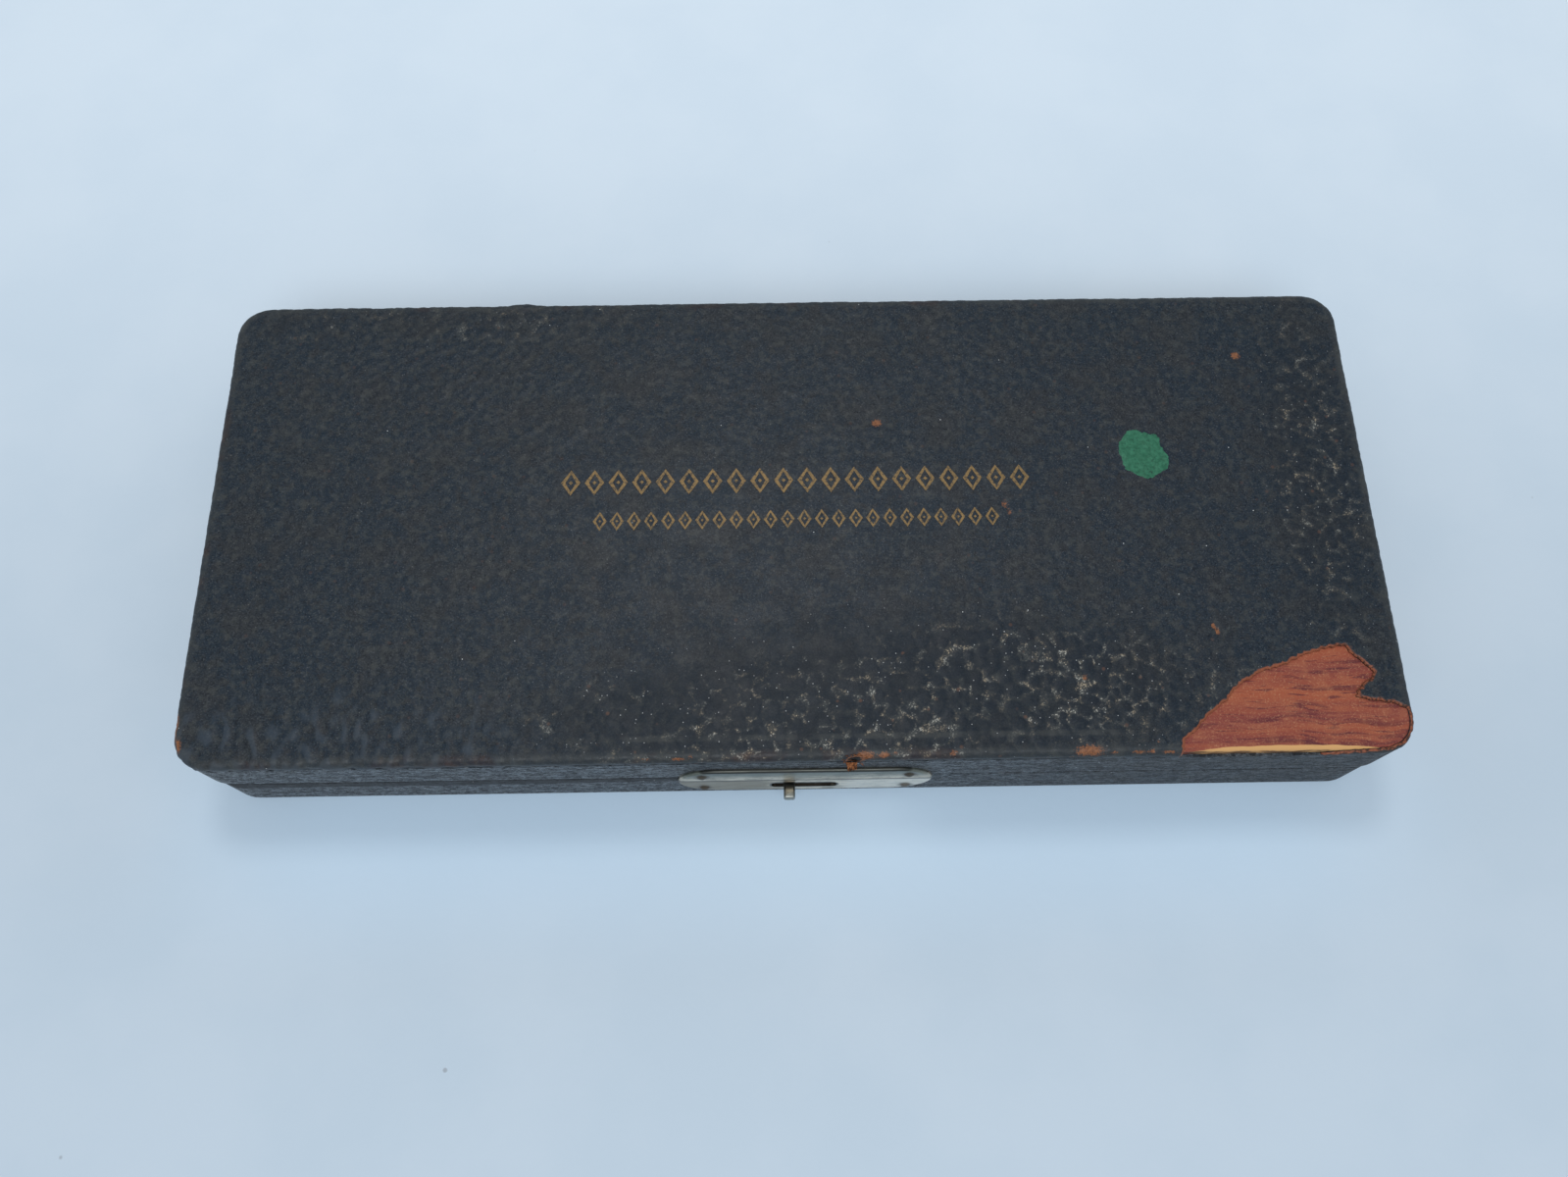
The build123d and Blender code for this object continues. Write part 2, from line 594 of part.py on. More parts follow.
def build_slide(nodes):
    """The moving part of the catch."""
    nodes["slide_bolt"] = slide_bolt()
    nodes["thumb_stud"] = thumb_stud()


def main():
    nodes = {}
    build_lid(nodes)
    build_base(nodes)
    build_slide(nodes)
    os.makedirs("parts", exist_ok=True)
    for name, solid in nodes.items():
        export_step(solid, f"parts/{name}.step")
    print("hinge axis y, z:", HINGE_Y, SEAM_Z)
    print("slide travel left, right:", round(TRAVEL_LEFT, 3), round(TRAVEL_RIGHT, 3))


main()
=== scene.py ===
"""The looks of the gauge box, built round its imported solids.

Worn leatherette with a torn corner, a nickel slide catch, brass hinges and velvet inside.
Blender's metres and the frame of the solids. Sizes below are in millimetres, and MM makes
them metres where a mesh, a lamp or a texture takes them.
"""

import json

from math import cos, pi, radians, sin

import bmesh
import bpy
import numpy as np
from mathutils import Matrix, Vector, kdtree, noise
from mathutils.bvhtree import BVHTree
from mathutils.geometry import delaunay_2d_cdt


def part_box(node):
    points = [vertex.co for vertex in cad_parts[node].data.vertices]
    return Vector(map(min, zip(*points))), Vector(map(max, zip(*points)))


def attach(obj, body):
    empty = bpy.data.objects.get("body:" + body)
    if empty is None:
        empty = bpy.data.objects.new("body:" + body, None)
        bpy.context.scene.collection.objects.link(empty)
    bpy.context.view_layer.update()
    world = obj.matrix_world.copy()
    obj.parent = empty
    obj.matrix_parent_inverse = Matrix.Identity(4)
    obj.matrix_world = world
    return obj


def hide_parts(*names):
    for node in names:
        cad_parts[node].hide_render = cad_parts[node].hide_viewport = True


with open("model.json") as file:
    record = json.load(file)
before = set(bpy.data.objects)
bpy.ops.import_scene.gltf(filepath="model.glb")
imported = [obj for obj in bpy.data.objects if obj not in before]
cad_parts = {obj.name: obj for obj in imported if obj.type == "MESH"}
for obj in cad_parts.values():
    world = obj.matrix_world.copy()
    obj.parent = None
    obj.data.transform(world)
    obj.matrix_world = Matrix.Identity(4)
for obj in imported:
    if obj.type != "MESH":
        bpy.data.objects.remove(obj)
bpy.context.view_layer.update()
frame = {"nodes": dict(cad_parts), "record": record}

MM = 0.001


def box_of(node):
    """The low and the high corner of a solid, in millimetres."""
    return [np.array(corner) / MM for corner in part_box(node)]


# Camera of the photograph
CAMERA_PLACE = (-3.38, -107.73, 266.66)
CAMERA_TURN = (20.980, -0.051, -0.898)  # degrees
LENS, SENSOR = 29.16, 36.0

# Outside of the lid's cover, as in the solids
CORNER_R = 7.0
TOP_EDGE_R = 1.5
SHEET = 0.6  # thickness of the leatherette
COVER_LOW, COVER_HIGH = box_of("lid_top_cover")
HALF = COVER_HIGH[:2]  # half length and half depth of the lid
TOP_Z = COVER_HIGH[2]
SKIRT = TOP_Z - TOP_EDGE_R - COVER_LOW[2]

# Torn edge of the top sheet, from the front edge inwards, round the corner and back along the
# front, as x and y
TORN_EDGE = [
    (74.4, -51.3), (74.9, -48.5), (76.6, -47.4), (78.1, -46.0), (79.3, -44.6), (82.4, -42.2),
    (83.6, -41.1), (87.2, -37.6), (89.4, -36.4), (91.7, -35.2), (93.8, -34.7), (97.6, -33.1),
    (100.2, -31.9), (102.4, -31.3), (105.7, -30.5), (108.9, -30.0), (109.5, -31.3), (110.6, -32.4),
    (112.4, -33.9), (113.6, -35.7), (112.9, -36.9), (111.0, -38.0), (109.9, -39.1), (109.3, -40.8),
    (113.4, -41.4), (116.8, -42.0), (119.2, -43.2), (120.05, -45.2), (119.2, -48.0), (117.3, -49.7),
    (114.6, -50.8), (111.0, -51.4), (106.5, -52.0), (102.5, -52.9),
]
FRAY = 0.16  # how far the torn edge strays
STRAY_SEED = 1795702453  # for the strays of torn edge and grain, else each run has its own
TORN_LIFT, TORN_DROP = 0.16, 0.3  # the sheet lifts near the tear and is thin at its edge
TORN_FROM_X, TORN_TO_Y = 68.0, -22.0  # no point to the left or behind is near the tear
TORN_SHADOW_X = (101.0, 108.0)  # where the torn edge turns darker with painted shadow

# Grain of the leatherette
PEBBLE = 2.7
PEBBLE_HEIGHT = 0.16
WRINKLE_HEIGHT = 0.32
WAVE_HEIGHT = 0.08
GRAIN_PITCH = 0.58  # spacing of the top sheet's points
BACK_PITCH = 4.0  # and of those of its plain back

# Lump under the sheet near its back edge: its middle and half sizes, and how high it is
LUMP, LUMP_HEIGHT = ((-57.8, 52.0), (2.6, 1.6)), 0.45

# Outline of the dried drop of green paint
PAINT_DROP = [
    (70.0, 16.4), (71.1, 18.0), (72.9, 18.4), (74.0, 17.8), (75.8, 17.2), (77.0, 17.0), (77.8, 16.0),
    (77.7, 14.5), (78.4, 13.1), (79.0, 12.1), (79.0, 10.6), (78.7, 9.1), (77.7, 8.6), (76.4, 7.9),
    (75.2, 7.2), (73.8, 6.6), (72.9, 7.3), (71.2, 8.0), (69.9, 9.2), (69.2, 10.8), (69.2, 12.1),
    (68.8, 13.3), (69.1, 15.3),
]
PAINT_FILM = 0.12

# Worn places: centre, half sizes, how worn
WORN_AREAS = [
    ((27.0, -38.0), (52.0, 15.0), 1.0),
    ((-24.0, -44.0), (26.0, 9.0), 0.75),
    ((109.0, 8.0), (9.0, 36.0), 0.62),
    ((-72.0, 48.0), (44.0, 6.0), 0.24),
]
SMOOTH_AREA = ((-10.0, -16.0), (42.0, 24.0))
DRAWN_AREA = ((-82.0, 36.0), (46.0, 26.0))  # where the sheet was pulled askew
FOLDED_X, FOLDED_Y = (30.0, 85.0), (30.0, 49.0)  # folds set in this far left and in front
BROWN_EDGE_X = (60.0, 100.0)  # to the right of this the rubbed edge is less brown

# Chips and scuffs down to the sheet's brown core: centre, half sizes, how deep
CHIPS = [
    ((18.4, 20.7), (1.1, 0.9), 1.0), ((96.6, 35.9), (1.0, 0.9), 1.0), ((83.4, -25.6), (0.45, 0.7), 1.0),
    ((84.1, -26.8), (0.45, 0.8), 1.0), ((44.1, 1.6), (0.8, 1.2), 0.75), ((44.9, -0.2), (0.7, 1.0), 0.7),
    ((56.9, -36.0), (0.7, 0.9), 0.8), ((49.2, -36.1), (0.5, 0.5), 0.55), ((69.6, -48.9), (0.5, 0.5), 0.7),
    ((70.9, -46.7), (0.8, 0.6), 0.4), ((94.6, 44.8), (0.8, 0.8), 0.35), ((92.8, 34.2), (0.8, 0.5), 0.45),
    ((100.3, 31.4), (0.7, 0.5), 0.4), ((80.3, 3.3), (0.8, 0.6), 0.4), ((89.1, -18.5), (2.2, 0.35), 0.5),
    ((94.1, -12.5), (0.5, 0.4), 0.45),
    ((109.6, -2.5), (0.7, 0.5), 0.5), ((-80.7, 29.3), (0.6, 0.5), 0.5), ((-63.8, 14.7), (0.7, 0.6), 0.55),
    ((-94.1, -2.4), (0.6, 0.5), 0.5), ((-82.6, 2.3), (0.5, 0.5), 0.4), ((-115.2, 1.7), (0.5, 1.8), 0.5),
    ((-22.6, -51.2), (1.7, 0.5), 0.9), ((-28.6, -51.1), (2.0, 0.4), 0.65), ((-20.2, -50.7), (0.5, 0.7), 0.8),
    ((-35.4, -50.7), (0.8, 0.4), 0.6), ((-12.2, -51.2), (1.5, 0.3), 0.5), ((13.3, -51.0), (2.0, 1.1), 1.0),
    ((16.9, -50.9), (1.3, 0.8), 0.95), ((19.4, -50.6), (1.2, 0.6), 0.7), ((30.3, -50.6), (0.9, 0.9), 0.75),
    ((56.4, -50.7), (2.8, 1.3), 1.0), ((61.2, -51.1), (1.2, 0.5), 0.7), ((65.9, -51.1), (1.8, 0.5), 0.85),
    ((68.4, -50.9), (0.8, 0.6), 0.85), ((71.6, -51.2), (2.0, 0.5), 0.8), ((52.7, -52.5), (2.2, 0.35), 0.8),
    ((47.7, -52.4), (1.6, 0.35), 0.8), ((-119.9, -43.2), (0.85, 3.2), 0.95),
    ((-118.7, -47.0), (1.0, 1.6), 0.95),
]
CHIP_FLOOR = 0.16

# Stamped rows of gold lozenges: x of both ends, middle y, height, and how many
STAMPED_ROWS = [(-48.0, 50.0, 7.6, 5.8, 20), (-41.0, 43.0, -1.2, 4.2, 24)]
STROKE_SHARE = 0.116  # width of a lozenge's line to its height
LOZENGE_SHARE = 0.82  # width of a lozenge to the pitch of its row
LEAF, LEAF_RISE = 0.03, 0.035  # thickness of the gold leaf, and how far it is above the flat top

# Hole in the sheet at the lid's front edge: its middle in the flat sheet, half sizes, and the
# place where its loose fibres hang
HOLE = ((11.3, -52.4), (1.7, 1.15))
HOLE_DEPTH = 0.35
HOLE_PLACE = (11.3, -51.4, 27.35)
HOLE_FIBRES, FLAP_FIBRES, FIBRE = 20, 12, 0.07  # how many round it and below it, how thick

# Straight mark pressed into the sheet along the front: its y, its middle x and half length
PRESSED_Y, PRESSED_MIDDLE, PRESSED_REACH = -47.0, 15.0, 58.0

# Pale bare strip along the board's front edge: middle, half length, back edge and width
STRIP_MIDDLE, STRIP_REACH = 95.0, 20.5
STRIP_Y, STRIP_WIDTH = -49.60, 1.3
BOARD_FRONT = box_of("lid_top_board")[0][1]

# Slide catch: the joint between its plates, the middle and the straight part of its slot, and
# where its pins are
PLATE_LOW, PLATE_HIGH = box_of("latch_lid_plate")
JOINT_Z = (PLATE_LOW[2] + box_of("latch_base_plate")[1][2]) / 2
SLOT_MIDDLE, SLOT_HALF = (1.8, 0, 9.85), (5.0, 0, 0.1)
PIN_X = [(PLATE_LOW[0] + PLATE_HIGH[0]) / 2 + side * 20.6 for side in (-1, 1)]
PIN_Z = [np.mean(box_of(node), axis=0)[2] for node in ("latch_lid_pins", "latch_base_pins")]

# Marks on the plates, each from one place to another: painted olive shade towards the top,
# painted shade along the top edge, the bright lower right and the stained lower left
TOP_SHADE_Z, TOP_EDGE_SHADE_Z = (16.8, 21.2), (20.5, 20.9)
BRIGHT_X, STAINED_X = (7.0, 12.0), (-5.0, 3.0)

# Marks on the sides: their painted wrinkle highlights are fainter towards the right; the base has a painted
# shadow of the lid's overhang just below the joint, deeper to the left, on the left part of its front only
FAINTER_HIGHLIGHT_X = (0.0, 80.0)
LID_SHADOW_DEPTH, LID_SHADOW_DEPTH_X = (4.6, 3.4), (-60.0, -20.0)
LID_SHADOW_END_X, LID_SHADOW_FRONT_Y = (-24.0, 0.0), (-50.8, -48.0)
HIGHLIGHT_RIM_ABOVE = 0.85  # painted highlight along the lid's lower edge, above the joint

# Thumb stud: how much shorter it is worn than the solid, and its radii
STUD_WEAR = 0.55
STUD_RIVET_R, STUD_EDGE_R, STUD_TIP_R = 0.8, 0.5, 0.4

# Velvet pad of the lid: its thickness at the edge, how quickly it swells from there, its broad
# and small dents, and the spacing of its points in front and at the back
PAD_CORNER_R, PAD_EDGE, PAD_DRAW = 2.5, 0.45, 2.2
PAD_DENTS = (0.32, 0.10)
PAD_PITCH, PAD_BACK_PITCH = 1.4, 6.0

# Cloth round the lid's walls: its thickness, corners and spacing of points
CLOTH, CLOTH_CORNER_R, CLOTH_PITCH, CLOTH_BACK_PITCH = 0.45, 1.2, 1.0, 3.0

# Velvet of the gauge block: its thickness, the size of its voxels, the height that is cut off
# at its foot, and the waves of its pile
BLOCK_VELVET, BLOCK_VOXEL, BLOCK_FOOT, PILE_WAVES = 0.4, 0.95, 0.7, 0.07

# Table: its half size, where painted light brightens it, and the painted bluish glow in front of the box
TABLE_HALF = 6000.0
LIT_FAR_Y = (-70.0, 190.0)
GLOW_FRONT_Y, GLOW_BACK_Y, GLOW_END_X = (-92.0, -54.0), (-40.0, -20.0), (90.0, 150.0)

# Colours of the leatherette
BLACK_LEATHER = (0.0070, 0.0150, 0.0255)
BROWN_LEATHER = (0.0215, 0.0205, 0.0205)
PORE_BLACK = (0.0022, 0.0042, 0.0075)
GRAIN_GREY = (0.080, 0.092, 0.100)
RUBBED_BLACK = (0.0035, 0.0075, 0.0135)
CREASE_GREY = (0.046, 0.050, 0.048)
FOLD_HIGHLIGHT = (0.038, 0.052, 0.070)
EDGE_GREY = (0.056, 0.060, 0.058)
EDGE_BROWN = (0.062, 0.034, 0.025)
DUST_PALE = (0.300, 0.298, 0.270)
DUST_BROWN = (0.270, 0.225, 0.165)
LINT = (0.50, 0.52, 0.53)
EMBER = (0.115, 0.056, 0.036)
RUST_DARK = (0.110, 0.042, 0.021)
RUST_LIGHT = (0.260, 0.110, 0.050)
PAINTED_SHADE_BROWN = (0.045, 0.018, 0.011)
TORN_LIGHT = (0.270, 0.085, 0.042)
HOLE_SHADE = (0.006, 0.004, 0.003)
WRINKLE_HIGHLIGHT = (0.250, 0.295, 0.340)
PAINTED_SHADE_DARK = (0.004, 0.006, 0.009)
FIBRE_LIGHT = (0.380, 0.145, 0.055)

# Colours of the drop of paint, the gold leaf and the leather under it
PAINT_DARK = (0.012, 0.088, 0.047)
PAINT_LIGHT = (0.034, 0.160, 0.094)
GOLD_DARK = (0.165, 0.104, 0.040)
GOLD_LIGHT = (0.270, 0.170, 0.064)
RUBBED_THROUGH = (0.022, 0.020, 0.018)

# Colours of the wood: pale, dark, fleck and streak
BOARD = ((0.290, 0.072, 0.034), (0.185, 0.040, 0.032), (0.360, 0.125, 0.060), (0.085, 0.014, 0.021))
BOARD_SPECK = (0.470, 0.240, 0.130)
BARE_STRIP = (0.560, 0.315, 0.125)
RAILS = ((0.36, 0.150, 0.085), (0.26, 0.095, 0.055), (0.42, 0.20, 0.12), (0.105, 0.038, 0.022))

# Colours of the metals: clean and stained, then the marks on the catch's plates
PLATE_NICKEL = ((0.75, 0.65, 0.515), (0.38, 0.325, 0.245))
# The bolt is nearly black: tarnish and painted shade, where it shows through the slot.
BOLT_TARNISH_AND_SHADE = ((0.10, 0.088, 0.072), (0.050, 0.042, 0.034))
STUD_NICKEL = ((0.30, 0.30, 0.27), (0.23, 0.23, 0.205))
BRASS_BRIGHT = (0.66, 0.47, 0.20)
BRASS_DULL = (0.38, 0.25, 0.11)
NICKEL_TOP_SHADE = (0.130, 0.146, 0.124)
NICKEL_BRIGHT = (0.88, 0.81, 0.72)
NICKEL_EDGE_SHADE = (0.05, 0.05, 0.045)
NICKEL_STAIN = (0.27, 0.22, 0.155)
NICKEL_GRIME = (0.17, 0.13, 0.095)
JOINT_GRIME = (0.06, 0.05, 0.04)
PIN_GRIME = (0.075, 0.055, 0.040)
SLOT_GRIME_AND_SHADE = (0.022, 0.018, 0.015)

# Colours of velvet and lining cloth, clean and crushed, and of what lies on them
WINE_VELVET = ((0.085, 0.010, 0.026), (0.150, 0.028, 0.050))
WINE_CLOTH = ((0.075, 0.010, 0.024), (0.120, 0.024, 0.042))
VELVET_SHEEN = (0.75, 0.35, 0.45, 1)
VELVET_LINT = (0.35, 0.30, 0.28)

# Colours of the table, in pairs for its clouds, and of the sky as light and as it is seen
TABLE_NEAR = ((0.480, 0.578, 0.675), (0.505, 0.598, 0.692))
TABLE_LIT_FAR = ((0.668, 0.783, 0.895), (0.695, 0.806, 0.912))
TABLE_PAINTED_GLOW = (0.545, 0.705, 0.865)
TABLE_DIRT = (0.25, 0.27, 0.30)
SKY_LIGHT = (0.95, 0.975, 1.0, 1)
SKY_STRENGTH = 0.52
SKY_SEEN = (0.45, 0.53, 0.61, 1)


def placed(name, data):
    """An object in the scene."""
    item = bpy.data.objects.new(name, data)
    bpy.context.scene.collection.objects.link(item)
    return item


def to_mesh(name, points, faces):
    """A mesh object from points in millimetres."""
    mesh = bpy.data.meshes.new(name)
    mesh.from_pydata([tuple(p) for p in np.asarray(points) * MM], [], [tuple(f) for f in faces])
    mesh.update()
    return placed(name, mesh)


def finished(piece, body, finish, slot, *nodes):
    """Give a piece its material and its body, and hide the nodes that it stands for; slot is not used."""
    piece.data.materials.clear()
    piece.data.materials.append(finish)
    for face in piece.data.polygons:
        face.use_smooth = True
    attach(piece, body)
    if nodes:
        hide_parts(*nodes)
    return piece


def point_outwards(piece):
    """Recalculate the normals of a closed mesh."""
    work = bmesh.new()
    work.from_mesh(piece.data)
    bmesh.ops.recalc_face_normals(work, faces=work.faces)
    work.to_mesh(piece.data)
    work.free()
    return piece


def applied(piece):
    """Turn a piece's modifiers into its mesh."""
    graph = bpy.context.evaluated_depsgraph_get()
    mesh = bpy.data.meshes.new_from_object(piece.evaluated_get(graph))
    piece.modifiers.clear()
    piece.data = mesh
    return piece


def waves(x, y, layer):
    """Smooth random waves about 1 long, from about -1 to 1."""
    return noise.noise(Vector((x, y, layer)))


def ease(value, low, high):
    """0 below low, 1 above high and a smooth rise between."""
    t = np.clip((value - low) / (high - low), 0, 1)
    return t * t * (3 - 2 * t)


def patch(points, centre, half_sizes, soft=0.5):
    """1 in the middle of an oval area, falling to 0 round it."""
    reach = np.linalg.norm((points[:, :2] - centre) / half_sizes, axis=1)
    return 1 - ease(reach, 1 - soft, 1 + soft)


def rounded_rectangle(half, radius, step):
    """Points round a rounded rectangle, counter-clockwise from the front right corner's start."""
    points = []
    corners = [(1, -1, -90), (1, 1, 0), (-1, 1, 90), (-1, -1, 180)]
    for side_x, side_y, start in corners:
        centre = np.array([side_x * (half[0] - radius), side_y * (half[1] - radius)])
        turns = max(2, int(radius * pi / 2 / step))
        for i in range(turns + 1):
            angle = radians(start + 90 * i / turns)
            points.append(centre + radius * np.array([cos(angle), sin(angle)]))
    return resampled(np.array(points + points[:1]), step)[:-1]


def resampled(path, step):
    """A path of points with even spacing, its ends kept."""
    path = np.asarray(path, float)
    lengths = np.linalg.norm(np.diff(path, axis=0), axis=1)
    along = np.concatenate([[0], np.cumsum(lengths)])
    places = np.linspace(0, along[-1], max(2, int(round(along[-1] / step)) + 1))
    return np.stack([np.interp(places, along, path[:, axis]) for axis in range(2)], axis=1)


def outside_by(points, half, radius):
    """How far points lie outside a rounded rectangle, and the way straight out."""
    corner = np.abs(points) - (half - radius)
    past = np.maximum(corner, 0)
    reach = np.linalg.norm(past, axis=1)
    distance = reach + np.minimum(corner.max(axis=1), 0) - radius
    way = past / np.maximum(reach, 1e-9)[:, None] * np.sign(points)
    return distance, way


def inside(points, loop):
    """Which points lie inside a closed loop."""
    result = np.zeros(len(points), bool)
    for a, b in zip(loop, np.roll(loop, -1, axis=0)):
        crosses = (a[1] > points[:, 1]) != (b[1] > points[:, 1])
        rise = b[1] - a[1] if b[1] != a[1] else 1e-9
        result ^= crosses & (points[:, 0] < (b[0] - a[0]) * (points[:, 1] - a[1]) / rise + a[0])
    return result


def nearest(points, path):
    """Distance from each point to the nearest point of a finely divided path."""
    tree = kdtree.KDTree(len(path))
    for index, place in enumerate(path):
        tree.insert((place[0], place[1], 0), index)
    tree.balance()
    return np.array([tree.find((x, y, 0))[2] for x, y in points])


def hexagonal(half, pitch):
    """Points of a triangular grid over a rectangle."""
    rows = []
    row_pitch = pitch * sin(pi / 3)
    for number, y in enumerate(np.arange(-half[1], half[1], row_pitch)):
        xs = np.arange(-half[0] + (number % 2) * pitch / 2, half[0], pitch)
        rows.append(np.stack([xs, np.full_like(xs, y)], axis=1))
    return np.concatenate(rows)


def triangles(loop, inner):
    """Triangles over the area inside a loop, through given inner points."""
    points = [Vector(p) for p in np.concatenate([loop, inner])]
    count = len(loop)
    edges = [(i, (i + 1) % count) for i in range(count)]
    made = delaunay_2d_cdt(points, edges, [], 1, 1e-6)
    return np.array([tuple(v) for v in made[0]]), made[2]


def closed_body(name, loop, fine, coarse, front, back):
    """A closed body over a flat outline: a fine front, a coarse back and the edge between.

    fine and coarse are the inner points of the two, and front and back lay flat points where
    they belong.
    """
    count = len(loop)
    front_flat, front_faces = triangles(loop, fine)
    back_flat, back_faces = triangles(loop, coarse)
    points = np.concatenate([front(front_flat), back(back_flat)])
    start = len(front_flat)
    faces = [tuple(f) for f in front_faces]
    faces += [tuple(start + v for v in reversed(f)) for f in back_faces]
    for i in range(count):
        j = (i + 1) % count
        faces.append((j, i, start + i, start + j))
    return to_mesh(name, points, faces)


def wrapped(flat):
    """Where the flat sheet's points lie once it is folded over the lid's rounded edge."""
    distance, way = outside_by(flat, HALF - TOP_EDGE_R, CORNER_R - TOP_EDGE_R)
    over = np.maximum(distance, 0)
    turn = np.minimum(over / TOP_EDGE_R, pi / 2)
    drop = np.maximum(over - TOP_EDGE_R * pi / 2, 0)
    plan = flat - way * over[:, None] + way * (TOP_EDGE_R * np.sin(turn))[:, None]
    height = TOP_Z - TOP_EDGE_R + TOP_EDGE_R * np.cos(turn) - drop
    normal = np.concatenate([way * np.sin(turn)[:, None], np.cos(turn)[:, None]], axis=1)
    return np.column_stack([plan, height]), normal


def torn_path():
    """The torn edge across the flat sheet, with small fibres and nicks."""
    start, end = TORN_EDGE[0], TORN_EDGE[-1]
    outer_y = -HALF[1] + TOP_EDGE_R - TOP_EDGE_R * pi / 2 - SKIRT
    path = resampled(np.array([(start[0], outer_y), *TORN_EDGE, (end[0] - 1.0, outer_y)]), 0.3)
    for index in range(1, len(path) - 1):
        x, y = path[index]
        stray = noise.noise_vector(Vector((x * 1.1, y * 1.1, 4.0)))
        stray += 0.5 * noise.noise_vector(Vector((x * 3.5, y * 3.5, 9.0)))
        path[index] += FRAY * np.array(stray[:2]) * 2
    return path


def top_sheet_outline():
    """The flat outline of the top sheet, from the tear's right end round to its left end."""
    reach = TOP_EDGE_R * (pi / 2 - 1) + SKIRT
    loop = rounded_rectangle(HALF + reach, CORNER_R + reach, 0.6)
    tear = torn_path()
    gone = (loop[:, 1] < -HALF[1] + 4) & (loop[:, 0] > tear[0, 0]) & (loop[:, 0] < tear[-1, 0])
    first = int(np.argmax(gone & ~np.roll(gone, 1)))
    loop = np.roll(loop, -first, axis=0)
    loop = loop[int(gone.sum()):]
    return np.concatenate([loop, tear]), tear


def pebbles(x, y):
    """How near a place is to the creases between pebbles, from 0 to 1, most where creases meet."""
    near, _ = noise.voronoi(Vector((x, y, 1.7)))
    crease = max(0.0, 1 - (near[1] - near[0]) / 0.30)
    meeting = max(0.0, 1 - (near[2] - near[0]) / 0.46)
    return min(1.0, 0.5 * crease ** 1.4 + 0.85 * meeting ** 1.3)


def relief(flat, tear_distance):
    """Height of the sheet's grain and folds, its creases, how worn it is and its folds."""
    heights, creases, folds = (np.zeros(len(flat)) for _ in range(3))
    worn = sum(patch(flat, c, r) * w for c, r, w in WORN_AREAS).clip(0, 1)
    smooth = patch(flat, *SMOOTH_AREA, soft=0.6)
    drawn = patch(flat, *DRAWN_AREA, soft=0.7)
    stamped = np.zeros(len(flat))
    for left, right, y, height, _ in STAMPED_ROWS:
        centre, half = ((left + right) / 2, y), ((right - left) / 2 + 1, height / 2 + 0.6)
        away = np.maximum(np.abs(flat - centre) - half, 0).max(axis=1)
        stamped = np.maximum(stamped, 1 - ease(away, 0, 1.2))
    front_left = ease(-flat[:, 0], *FOLDED_X) * ease(-flat[:, 1], *FOLDED_Y)
    strength = (0.62 + 0.45 * worn + 0.5 * drawn) * (1 - 0.72 * smooth) * (1 - 0.85 * stamped)
    for i, (x, y) in enumerate(flat):
        stray = noise.noise_vector(Vector((x / 7, y / 7, 0))) * 0.5
        crease = 0.0
        if drawn[i] < 1:
            crease += (1 - drawn[i]) * pebbles(x / PEBBLE + stray.x, y / PEBBLE + stray.y)
        if drawn[i] > 0:
            along, across = (x + y) / (1.7 * PEBBLE), (y - x) / (0.95 * PEBBLE)
            crease += drawn[i] * pebbles(along + stray.x, across + stray.y)
        fine = waves(x * 1.9, y * 1.9, 3.0)
        wave = waves(x / 17, y / 13, 5.0) + 0.4 * waves(x / 5, y / 6, 8.0)
        sway = 0.8 * waves(x / 6, y / 6, 1)
        fold = waves(x / 1.7 + sway, y / 3.6, 2.0)
        heights[i] = (
            PEBBLE_HEIGHT * strength[i] * (0.25 * fine - crease)
            + WAVE_HEIGHT * wave
            + WRINKLE_HEIGHT * front_left[i] * fold
        )
        creases[i] = crease * strength[i]
        folds[i] = front_left[i] * fold
    lift = TORN_LIFT * (1 - ease(tear_distance, 0.0, 3.0))
    lift -= TORN_DROP * (1 - ease(tear_distance, 0.0, 0.45))
    return heights + lift + LUMP_HEIGHT * patch(flat, *LUMP, soft=0.9), creases, worn, folds


def reaches(flat, marks):
    """The share of each mark at each point: its depth in its middle, falling evenly to 0."""
    share = np.zeros(len(flat))
    for centre, half_sizes, depth in marks:
        reach = np.linalg.norm((flat - centre) / half_sizes, axis=1)
        share = np.maximum(share, depth * (1 - reach / 2).clip(0, 1))
    return share


def edge_rub(flat):
    """Brown rub marks along the sheet's folded edge, from 0 to 1."""
    distance, _ = outside_by(flat, HALF - TOP_EDGE_R, CORNER_R - TOP_EDGE_R)
    band = ease(distance, -0.9, 0.2) * (1 - ease(distance, 2.4, 3.2))
    rub = np.zeros(len(flat))
    for i in np.flatnonzero(band > 0):
        x, y = flat[i]
        rub[i] = 0.5 + waves(x / 4, y / 4, 6.0) + 0.7 * waves(x, y, 2.0)
    return (band * (0.32 + 0.38 * ease(rub, 0.6, 1.15))).clip(0, 1)


def depth_inside(flat, outline):
    """How far points lie inside an outline, below 0 outside it."""
    path = resampled(np.array(outline + outline[:1]), 0.15)
    depth = np.full(len(flat), -9.0)
    close = (np.abs(flat - np.mean(outline, axis=0)) < 12).all(axis=1)
    depth[close] = nearest(flat[close], path) * np.where(inside(flat[close], path[:-1]), 1, -1)
    return depth


def add_values(piece, name, values):
    """Keep one number per point on a mesh, for its material."""
    attribute = piece.data.attributes.new(name, "FLOAT", "POINT")
    numbers = np.zeros(len(piece.data.vertices), np.float32)
    numbers[: len(values)] = values
    attribute.data.foreach_set("value", numbers)


